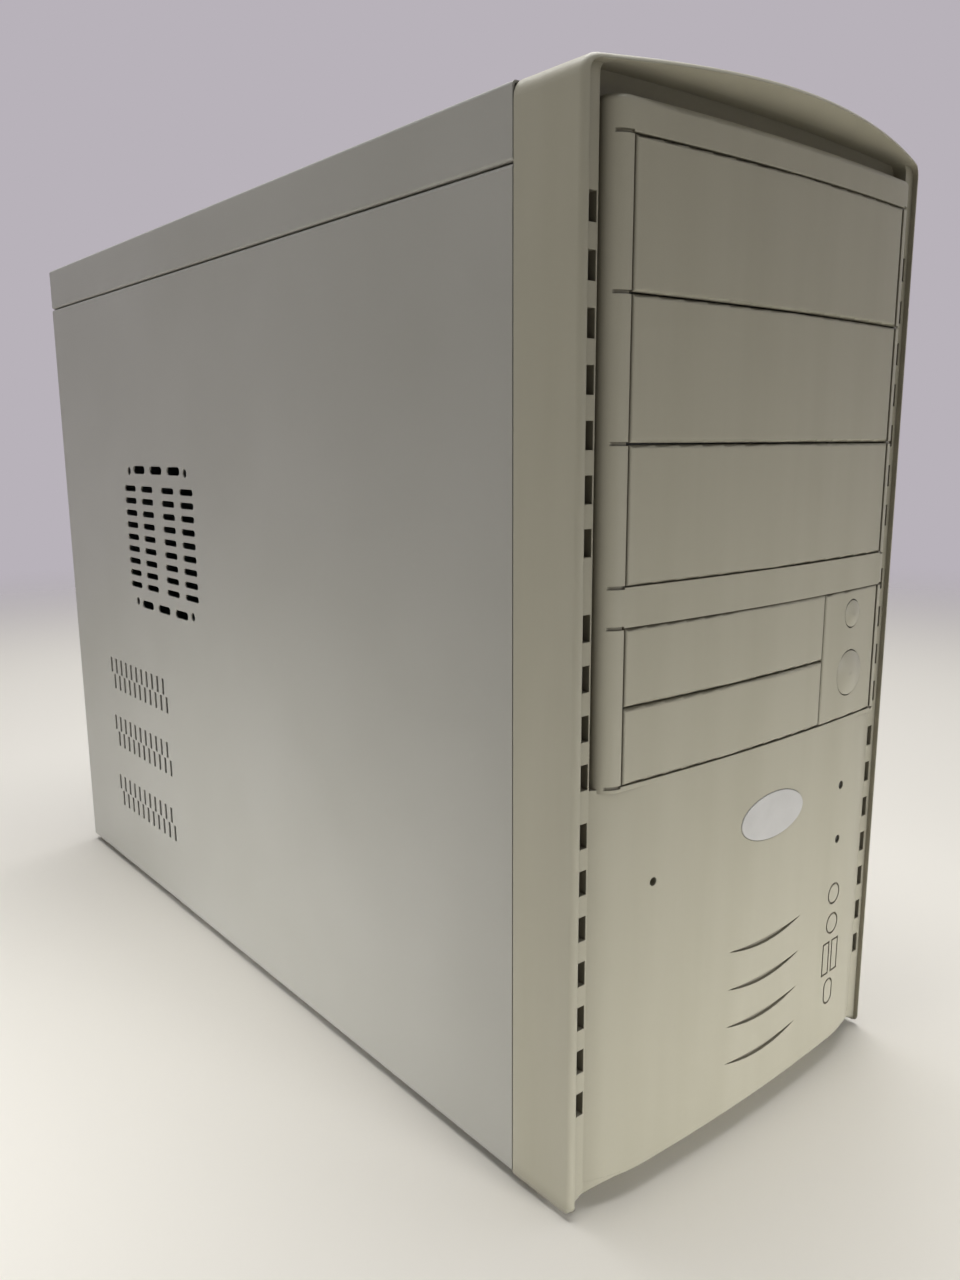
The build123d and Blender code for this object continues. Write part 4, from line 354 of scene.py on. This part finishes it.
def connector(material, backing, insert, middle, width, rows, pitch):
    """Mix an insert colour into a backing colour on one D-shaped mouth, with contact holes as discs of
    painted shade.
    The mouth is a band that narrows as it rises; a row is a place, a shift and a count of discs that a fold
    repeats."""
    height = 0.0084
    slope = 0.1763
    side_wall = 0.0008
    end_wall = 0.0009
    mouth_y = 0.2282
    hole_radius = 0.00062
    rise = calc(material, "SUBTRACT", coordinate(material, "X"), middle[0])
    run = calc(material, "SUBTRACT", coordinate(material, "Z"), middle[1])
    run_off = calc(material, "ABSOLUTE", run)
    slant = calc(material, "MULTIPLY", calc(material, "ADD", rise, height / 2), slope)
    in_width = calc(material, "LESS_THAN", calc(material, "ADD", run_off, slant), width / 2 - end_wall)
    in_height = calc(material, "LESS_THAN", calc(material, "ABSOLUTE", rise), height / 2 - side_wall)
    on_mouth = calc(material, "GREATER_THAN", coordinate(material, "Y"), mouth_y)
    inside = calc(material, "MULTIPLY", calc(material, "MULTIPLY", in_width, in_height), on_mouth)
    faced = blend_of(material, inside, backing, insert)
    for spot, shift, count in rows:
        away = calc(material, "PINGPONG", calc(material, "ADD", run, shift), pitch / 2)
        away_squared = calc(material, "MULTIPLY", away, away)
        off = calc(material, "SUBTRACT", rise, spot)
        off_squared = calc(material, "MULTIPLY", off, off)
        shaded_hole = calc(material, "LESS_THAN", calc(material, "ADD", away_squared, off_squared), hole_radius**2)
        in_row = calc(material, "LESS_THAN", run_off, count * pitch / 2)
        shaded_hole = calc(material, "MULTIPLY", calc(material, "MULTIPLY", shaded_hole, inside), in_row)
        # Painted shade: each contact hole is a near black disc on the insert.
        faced = blend_of(material, shaded_hole, faced, srgb(18, 18, 20))
    return faced, inside


ports = finish("serial_video_shells", 0.3)
port_metal = tinned_tone(ports)
serial_rows = ((-row_half, 0.0, 5), (row_half, wide_pitch / 2, 4))
video_rows = ((-row_step, 0.0, 5), (0.0, close_pitch / 2, 5), (row_step, 0.0, 5))
serial_teal = srgb(46, 116, 122)
video_blue = srgb(40, 70, 150)
faced, serial_inside = connector(
    ports, port_metal, serial_teal, (short_port_x, serial_z), short_port_width, serial_rows, wide_pitch
)
faced, video_inside = connector(
    ports, faced, video_blue, (short_port_x, video_z), short_port_width, video_rows, close_pitch
)
colour(ports, faced)
bare_metal(ports, calc(ports, "SUBTRACT", 1.0, calc(ports, "ADD", serial_inside, video_inside)))
relief(ports, blotch(ports, 0.0006), 0.00001, edge=0.0003)
dress(ports, "serial_video_ports")

# Parallel socket: the same kind of tinned shell, longer, soldered to the board with its mouth through the
# shield. Its insert has 25 contact holes in two rows.
long_port_x = 0.0557
long_port_z = 0.1858
long_port_width = 0.039
long_port = finish("parallel_shell", 0.32)
long_metal = tinned_tone(long_port)
long_rows = ((-row_half, 0.0, 13), (row_half, wide_pitch / 2, 12))
long_magenta = srgb(146, 58, 104)
faced, long_inside = connector(
    long_port, long_metal, long_magenta, (long_port_x, long_port_z), long_port_width, long_rows, wide_pitch
)
colour(long_port, faced)
bare_metal(long_port, calc(long_port, "SUBTRACT", 1.0, long_inside))
relief(long_port, blotch(long_port, 0.0006), 0.00001, edge=0.0003)
dress(long_port, "parallel_port")

# Keyboard and mouse sockets, audio jacks and disk sockets: moulded plastic bodies soldered to the board, in
# the usual colour for each kind of plug.


def sorted_plastic(name, axis, mixed, *bands):
    """Moulded plastic that starts in one colour along an axis; a band is a start in metres and a colour."""
    material = finish(name, 0.42)
    spot = coordinate(material, axis)
    for start, tone in bands:
        mixed = blend_of(material, calc(material, "GREATER_THAN", spot, start), mixed, tone)
    colour(material, mixed)
    relief(material, blotch(material, 0.0006), 0.00003, edge=0.0003)
    return material


keyboard_low, keyboard_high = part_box("keyboard_ports")
keyboard_middle = (keyboard_low[0] + keyboard_high[0]) / 2
mouse_green = srgb(52, 138, 88)
keyboard_band = (keyboard_middle, srgb(112, 84, 150))
keyboard_plastic = sorted_plastic("keyboard_port_plastic", "X", mouse_green, keyboard_band)
dress(keyboard_plastic, "keyboard_ports")
jack_low, jack_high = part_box("audio_jacks")
jack_third = (jack_high[2] - jack_low[2]) / 3
jack_plastic = sorted_plastic(
    "jack_plastic",
    "Z",
    srgb(214, 120, 148),
    (jack_low[2] + jack_third, srgb(108, 178, 92)),
    (jack_low[2] + 2 * jack_third, srgb(92, 150, 200)),
)
dress(jack_plastic, "audio_jacks")
disk_split_y = -0.0075
disk_blue = srgb(38, 74, 148)
disk_black = srgb(34, 34, 36)
disk_plastic = sorted_plastic("disk_socket_plastic", "Y", disk_blue, (disk_split_y, disk_black))
dress(disk_plastic, "disk_sockets")

# Power supply: a folded zinc plated box with a lid over its top and sides, screwed to the rear panel. Its
# fan is behind a guard of chromed wire, with an eye at each screw.
dress(zinc, "psu_case", "psu_lid")
chrome = finish("chromed_wire", 0.16, metallic=1.0)
colour(chrome, tones(chrome, blotch(chrome, 0.006), (0.3, srgb(206, 207, 209)), (0.8, srgb(226, 226, 227))))
relief(chrome, blotch(chrome, 0.001), 0.00001, edge=0.0006)
dress(chrome, "psu_fan_grille")

# Fan guard screws: four self-tapping pan heads, nickel plated, with cross recesses. They clamp the eyes of
# the wire guard to the fan. A head's profile has rows of radius and height.
guard_middle_x = -0.023
guard_eye = 0.036
guard_face_y = 0.2241
head_sides = 28
crease = np.radians(40)
pan_head = (
    (0.0034, 0.0),
    (0.0037, 0.0003),
    (0.0037, 0.0010),
    (0.0034, 0.0015),
    (0.0026, 0.0019),
    (0.0014, 0.0021),
)


def turned(name, profile, centres, sides):
    """Closed surface of revolution about y at each centre: rows of radius and place along y, swept round in
    equal steps, with a flat cap at each end."""
    turn = np.linspace(0.0, 2 * np.pi, sides, endpoint=False)
    radius, along = np.array(profile).T[:, :, None]
    ring = np.stack((radius * np.cos(turn), along + 0 * turn, radius * np.sin(turn)), axis=2)
    points = np.array(centres)[:, None, None, :] + ring[None]
    index = np.arange(points[..., 0].size).reshape(points.shape[:3])
    after = np.roll(index, -1, axis=2)
    walls = np.stack((index[:, :-1], index[:, 1:], after[:, 1:], after[:, :-1]), axis=3)
    caps = index[:, 0].tolist() + index[:, -1, ::-1].tolist()
    mesh = bpy.data.meshes.new(name)
    mesh.from_pydata(points.reshape(-1, 3).tolist(), [], walls.reshape(-1, 4).tolist() + caps)
    piece = bpy.data.objects.new(name, mesh)
    bpy.context.scene.collection.objects.link(piece)
    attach(piece, "case")
    return piece


guard_nickel = finish("guard_screw_nickel", 0.28, metallic=1.0)
# Painted shade: a dark cross in each guard screw's head stands for its shaded recess.
cross_recess(
    guard_nickel,
    off_pair(guard_nickel, coordinate(guard_nickel, "X"), guard_middle_x, guard_eye),
    off_pair(guard_nickel, coordinate(guard_nickel, "Z"), supply_middle_z, guard_eye),
)
guard_eyes = [
    (guard_middle_x + a * guard_eye, guard_face_y, supply_middle_z + b * guard_eye)
    for a in (-1, 1)
    for b in (-1, 1)
]
guard_screws = turned("fan_guard_screws", pan_head, guard_eyes, head_sides)
guard_screws.data.shade_smooth()
guard_screws.data.set_sharp_from_angle(angle=crease)
guard_screws.data.materials.append(guard_nickel)

# Jack screws: hexagonal nuts with a threaded bore on each side of the D-shaped sockets. They hold the sockets
# to the shield and take the screws of a cable's plug.
shield_face_y = 0.22285
short_port_reach = 0.0125
long_port_reach = 0.0235
nut_sides = 6
bored_nut = ((0.0029, 0.0), (0.0029, 0.0042), (0.0025, 0.0048), (0.0014, 0.0048), (0.0014, 0.0022))
jack_nickel = finish("jack_screw_nickel", 0.3, metallic=1.0)
wear = blotch(jack_nickel, 0.003)
colour(jack_nickel, tones(jack_nickel, wear, (0.3, srgb(176, 176, 172)), (0.8, srgb(208, 207, 203))))
relief(jack_nickel, blotch(jack_nickel, 0.0004), 0.00002, edge=0.0003)
jack_places = [
    (x, shield_face_y, z + sign * reach)
    for x, z, reach in (
        (short_port_x, serial_z, short_port_reach),
        (short_port_x, video_z, short_port_reach),
        (long_port_x, long_port_z, long_port_reach),
    )
    for sign in (1, -1)
]
jack_screws = turned("socket_jack_screws", bored_nut, jack_places, nut_sides)
jack_screws.data.materials.append(jack_nickel)

# Mains inlet and switch: black flame proof plastic with a fine even grain. Both are flanged and sit in the
# rear face of the supply's case, and the rocker turns on a pin across its housing.
inlet = finish("inlet_black", 0.4)
colour(inlet, tones(inlet, blotch(inlet, 0.01), (0.3, srgb(22, 22, 23)), (0.8, srgb(38, 38, 39))))
relief(inlet, blotch(inlet, 0.0006), 0.00003, edge=0.0005)
dress(inlet, "mains_inlet", "rocker_housing", "rocker_switch")

# Hard drive: a cast aluminium body under a stamped lid, bead blasted and left bare. It stands on the floor of
# the small cage.
casting = finish("drive_casting", 0.42, metallic=1.0)
blast = blotch(casting, 0.012)
colour(casting, tones(casting, blast, (0.3, srgb(150, 152, 154)), (0.8, srgb(178, 180, 182))))
relief(casting, blotch(casting, 0.0009), 0.00006, edge=0.0005)
dress(casting, "hard_drive")

# Cables inside the case: bundles of wires in woven sleeves, black for power and grey for data. Each is held
# at both ends by its plugs.


def sleeve_cloth(name, dark, pale):
    """Woven sleeve: a fine check of dark and pale threads, the dark ones raised."""
    material = finish(name, 0.6)
    weave = place(material, (1.0, 1.3, 1.0))
    threads = node(material, "ShaderNodeTexChecker", Vector=weave, Scale=900.0, Color1=dark, Color2=pale)
    colour(material, threads.outputs["Color"])
    relief(material, threads.outputs["Fac"], 0.0002)
    return material


power_sleeve = sleeve_cloth("power_sleeve", srgb(24, 24, 25), srgb(44, 44, 45))
dress(power_sleeve, "main_power_cable", "drive_power_cable")
dress(sleeve_cloth("data_sleeve", srgb(112, 114, 118), srgb(146, 148, 152)), "disk_data_cable")

# Top cover and side panels: steel sheet with a baked pale grey paint. The paint has a fine orange peel and
# hardly any wear; painted shade darkens its seams.


def paint_hollow_shade(material, unshaded, shade_tone, reach, amount):
    """Painted shade: mix an unshaded colour with a darker one in corners that are shut in within reach
    metres.
    """
    shut_in = 0.35
    in_the_open = 0.95
    hollow = node(material, "ShaderNodeAmbientOcclusion", Distance=reach)
    hollow.samples = 6
    light = hollow.outputs["AO"]
    shut = node(material, "ShaderNodeMapRange", Value=light, i1=shut_in, i2=in_the_open, i3=amount, i4=0.0)
    return blend_of(material, shut.outputs["Result"], unshaded, shade_tone)


paint = finish("pale_grey_paint", 0.34)
clouds = blotch(paint, 0.09, detail=2.0)
even_paint = tones(paint, clouds, (0.3, srgb(191, 190, 182)), (0.7, srgb(197, 196, 189)))
# Painted shade: the paint is darker in seams and corners, the more so the more shut in they are.
colour(paint, paint_hollow_shade(paint, even_paint, srgb(112, 108, 96), 0.006, 0.6))
sheen_spread(paint, spread(paint, blotch(paint, 0.05), 0.27, 0.4))
relief(paint, blotch(paint, 0.0011, detail=1.5), 0.00004, strength=0.6, edge=0.0005)
dress(paint, "top_cover", "left_side_panel", "right_side_panel")

# Thumbscrews of the side panels: turned heads, nickel plated, with a straight knurl round the rim. Their flat
# ends are smooth.
knurled = finish("knurled_nickel", 0.3, metallic=1.0)
end_on = calc(knurled, "ABSOLUTE", facing(knurled, "Y", "True Normal"))
flat_end = calc(knurled, "GREATER_THAN", end_on, square_on)
knurl = blotch(knurled, 0.0008, detail=1.0, stretch=(1.0, 0.03, 1.0))
ridges = calc(knurled, "MAXIMUM", knurl, flat_end)
colour(knurled, tones(knurled, ridges, (0.3, srgb(170, 170, 168)), (0.7, srgb(214, 214, 211))))
relief(knurled, ridges, 0.0004, edge=0.0004)
dress(knurled, "left_panel_screws", "right_panel_screws")

# Front bezel, bay covers and button panel: putty coloured plastic from a spark eroded mould, so
# the surface has a fine even grain; the vertical flow of the plastic shows as very faint streaks.
# Painted shade: the darker colour put into the seams, gaps and hollows of the putty plastic.
seam_shade = srgb(104, 98, 82)
putty = finish("putty_plastic", 0.42)
flow = blotch(putty, 0.02, stretch=(1.0, 1.0, 0.12))
even_putty = tones(putty, flow, (0.3, srgb(193, 189, 169)), (0.7, srgb(200, 196, 177)))
# Painted shade in the notches, grooves and gaps of the front, the more so the more shut in they are.
colour(putty, paint_hollow_shade(putty, even_putty, seam_shade, 0.009, 0.75))
sheen_spread(putty, spread(putty, blotch(putty, 0.03), 0.36, 0.5))
relief(putty, blotch(putty, 0.0005, detail=2.0), 0.00003, strength=0.7, edge=0.0005)
dress(putty, "front_bezel", "button_panel", "small_cover_upper", "small_cover_lower")
dress(putty, "bay_cover_top", "bay_cover_middle", "bay_cover_bottom")

# Push buttons: the same putty plastic from a smoother part of the mould. Each has a shallow dome, which the
# finger has polished a little.
button_x = 0.0540
power_z = 0.1687
reset_z = 0.1920
dome_radius = 0.030


def squared_off(material, axis, middle):
    """Square of a coordinate's distance from a middle."""
    return calc(material, "POWER", calc(material, "SUBTRACT", coordinate(material, axis), middle), 2.0)


button = finish("button_putty", 0.36)
even_button = tones(button, blotch(button, 0.012), (0.3, srgb(193, 189, 170)), (0.7, srgb(199, 195, 177)))
# Painted shade: the gap round each button is darker, the more so the more shut in it is.
colour(button, paint_hollow_shade(button, even_button, seam_shade, 0.004, 0.7))
sheen_spread(button, spread(button, blotch(button, 0.006), 0.28, 0.42))
off_nearer = calc(button, "MINIMUM", squared_off(button, "Z", power_z), squared_off(button, "Z", reset_z))
off_centre = calc(button, "ADD", squared_off(button, "X", button_x), off_nearer)
relief(button, calc(button, "MULTIPLY", off_centre, -0.5 / dome_radius), 1.0, edge=0.0004)
dress(button, "power_button", "reset_button")

# Lower corners of the front: on each side the moulding's lower edge sweeps down to the corner. This wall is
# of the same putty plastic, 3 mm thick, moulded with the shoulder of the lower front that it hangs from.
sweep_start_x = 0.0700
sweep_width = 0.0186
shoulder_x = 0.05548
shoulder_y = -0.16153
shoulder_radius = 0.06398
shoulder_width = 0.02792
sweep_high = 0.00895
sweep_drop = 0.0059
sweep_power = 1.7
wall_top = 0.011
wall_thick = 0.003
wall_lip = 0.00005
edge_round = 0.0018
rows_out = 41
rows_round = 9


def corner_sweep(sign):
    """Closed wall on a grid: one parameter runs outwards along x, the other round the wall's section, whose
    front is the shoulder's arc and whose lower edge falls by a power of the way out, with a quarter round."""
    out = np.linspace(0.0, 1.0, rows_out)[:, None]
    ones = np.ones_like(out)
    across = sweep_start_x + sweep_width * out
    arc = np.minimum(across - shoulder_x, shoulder_width)
    front = shoulder_y - np.sqrt(shoulder_radius**2 - arc**2)
    low = sweep_high - sweep_drop * out**sweep_power
    quarter = np.linspace(0.0, np.pi / 2, rows_round)[None, :]
    round_back = edge_round * (1 - np.cos(quarter)) * ones
    round_height = low + edge_round * (1 - np.sin(quarter))
    back = np.concatenate((0 * ones, round_back, wall_thick * ones, wall_thick * ones), axis=1)
    height = np.concatenate((wall_top * ones, round_height, low, wall_top * ones), axis=1)
    points = np.stack((sign * across * np.ones_like(back), front - wall_lip + back, height), axis=2)
    rows, columns = back.shape
    index = np.arange(rows * columns).reshape(rows, columns)
    after = np.roll(index, -1, axis=1)
    faces = np.stack((index[:-1], after[:-1], after[1:], index[1:]), axis=2).reshape(-1, 4).tolist()
    faces += [index[0].tolist(), index[-1].tolist()]
    mesh = bpy.data.meshes.new("corner_sweep")
    mesh.from_pydata(points.reshape(-1, 3).tolist(), [], faces)
    return mesh


for side_name, sign in (("left", -1.0), ("right", 1.0)):
    sweep_mesh = corner_sweep(sign)
    wall = bmesh.new()
    wall.from_mesh(sweep_mesh)
    bmesh.ops.recalc_face_normals(wall, faces=wall.faces)
    wall.to_mesh(sweep_mesh)
    wall.free()
    sweep_mesh.shade_smooth()
    sweep_mesh.set_sharp_from_angle(angle=crease)
    sweep_mesh.materials.append(putty)
    sweep = bpy.data.objects.new("corner_sweep_" + side_name, sweep_mesh)
    bpy.context.scene.collection.objects.link(sweep)
    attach(sweep, "case")

# Indicator lamps: two clear plastic lamps tinted dark, which look black while they are off. They are pushed
# into bosses behind the lower front until their flanges seat.
lens = finish("dark_lamp_lens", 0.12)
colour(lens, tones(lens, blotch(lens, 0.002), (0.3, srgb(34, 34, 30)), (0.8, srgb(58, 56, 48))))
dress(lens, "indicator_lamps")

# Badge plate: a plain oval of white enamelled plastic, smooth and glossy, set in its pocket in the lower
# front.
enamel = finish("white_enamel", 0.18)
colour(enamel, tones(enamel, blotch(enamel, 0.01), (0.3, srgb(214, 213, 211)), (0.8, srgb(223, 222, 220))))
relief(enamel, blotch(enamel, 0.003), 0.00001, edge=0.0003)
dress(enamel, "badge_plate")

# Studio floor: a pale round table top under the feet. It fades out some way from the object, so that its rim
# never shows.
floor_radius = 3.0
floor_sides = 96
fade_start = 0.7
fade_end = 1.9
turn = np.linspace(0, 2 * np.pi, floor_sides, endpoint=False)
rim = np.stack((floor_radius * np.cos(turn), floor_radius * np.sin(turn), 0 * turn), axis=1)
floor_mesh = bpy.data.meshes.new("floor")
floor_mesh.from_pydata(rim.tolist(), [], [list(range(floor_sides))])
floor = bpy.data.objects.new("floor", floor_mesh)
bpy.context.scene.collection.objects.link(floor)
floor_white = finish("floor_white", 0.6)
tree = floor_white.node_tree
tree.nodes["Principled BSDF"].inputs["Base Color"].default_value = srgb(246, 242, 233)
from_middle = node(floor_white, "ShaderNodeVectorMath", i0=place(floor_white))
from_middle.operation = "LENGTH"
distance = from_middle.outputs["Value"]
fade = node(floor_white, "ShaderNodeMapRange", Value=distance, i1=fade_start, i2=fade_end, i3=0.0, i4=1.0)
fade.interpolation_type = "SMOOTHSTEP"
clear = node(floor_white, "ShaderNodeBsdfTransparent")
blend = node(floor_white, "ShaderNodeMixShader", i0=fade.outputs["Result"])
tree.links.new(tree.nodes["Principled BSDF"].outputs["BSDF"], blend.inputs[1])
tree.links.new(clear.outputs["BSDF"], blend.inputs[2])
tree.links.new(blend.outputs["Shader"], tree.nodes["Material Output"].inputs["Surface"])
floor_mesh.materials.append(floor_white)

# Studio room: a dim even light from all sides. The camera, reflections and clear things see a pale backdrop
# in its place.
world = bpy.data.worlds.new("room")
world.use_nodes = True
bpy.context.scene.world = world
tree = world.node_tree
room = tree.nodes["Background"]
room.inputs["Color"].default_value = srgb(236, 236, 238)
room.inputs["Strength"].default_value = 0.09
backdrop = node(world, "ShaderNodeBackground", Color=srgb(184, 178, 186), Strength=1.0)
ray = node(world, "ShaderNodeLightPath")
either = ray.outputs["Is Camera Ray"]
for kind in ("Is Glossy Ray", "Is Transmission Ray"):
    either = calc(world, "MAXIMUM", either, ray.outputs[kind])
choose = node(world, "ShaderNodeMixShader", i0=either)
tree.links.new(room.outputs["Background"], choose.inputs[1])
tree.links.new(backdrop.outputs["Background"], choose.inputs[2])
tree.links.new(choose.outputs["Shader"], tree.nodes["World Output"].inputs["Surface"])

# Studio lamps: a wide soft lamp overhead, and two weak ones close to the floor, in front and on the left,
# whose light fans out only a little.


def soft_lamp(name, spot, target, size, power, fan=180.0):
    """Square area lamp at spot, turned to look at target, whose light fans out by so many degrees."""
    lamp = bpy.data.lights.new(name, "AREA")
    lamp.shape = "SQUARE"
    lamp.size = size
    lamp.energy = power
    lamp.spread = np.radians(fan)
    holder = bpy.data.objects.new(name, lamp)
    bpy.context.scene.collection.objects.link(holder)
    aim = (Vector(target) - Vector(spot)).to_track_quat("-Z", "Y")
    holder.matrix_world = Matrix.LocRotScale(Vector(spot), aim, None)


soft_lamp("ceiling_lamp", (0.1, 0.15, 1.8), (0.0, -0.05, 0.0), 1.4, 31.0)
soft_lamp("low_lamp", (0.15, -1.25, 0.26), (0.0, -0.2, -0.1), 0.3, 0.31, fan=33.0)
soft_lamp("side_lamp", (-1.15, -0.1, 0.22), (-0.1, 0.0, -0.12), 0.3, 0.29, fan=32.0)

# Camera: where the photograph was taken, 0.3 m off the front left corner at about two thirds of the height of
# the case, looking a little down.
eye_place = (-0.30177, -0.42831, 0.25698)
ahead = Vector((0.62859, 0.75391, -0.19103)).normalized()
roll = np.radians(-0.32)
camera = bpy.data.cameras.new("camera")
camera.sensor_width = 36.0
camera.lens = 28.35
eye = bpy.data.objects.new("camera", camera)
bpy.context.scene.collection.objects.link(eye)
side = ahead.cross(Vector((0, 0, 1))).normalized()
rise = side.cross(ahead)
right = side * np.cos(roll) + rise * np.sin(roll)
up = right.cross(ahead)
rows = [(right[i], up[i], -ahead[i], eye_place[i]) for i in range(3)]
eye.matrix_world = Matrix((*rows, (0, 0, 0, 1)))
bpy.context.scene.camera = eye
bpy.context.scene.view_settings.view_transform = "Standard"
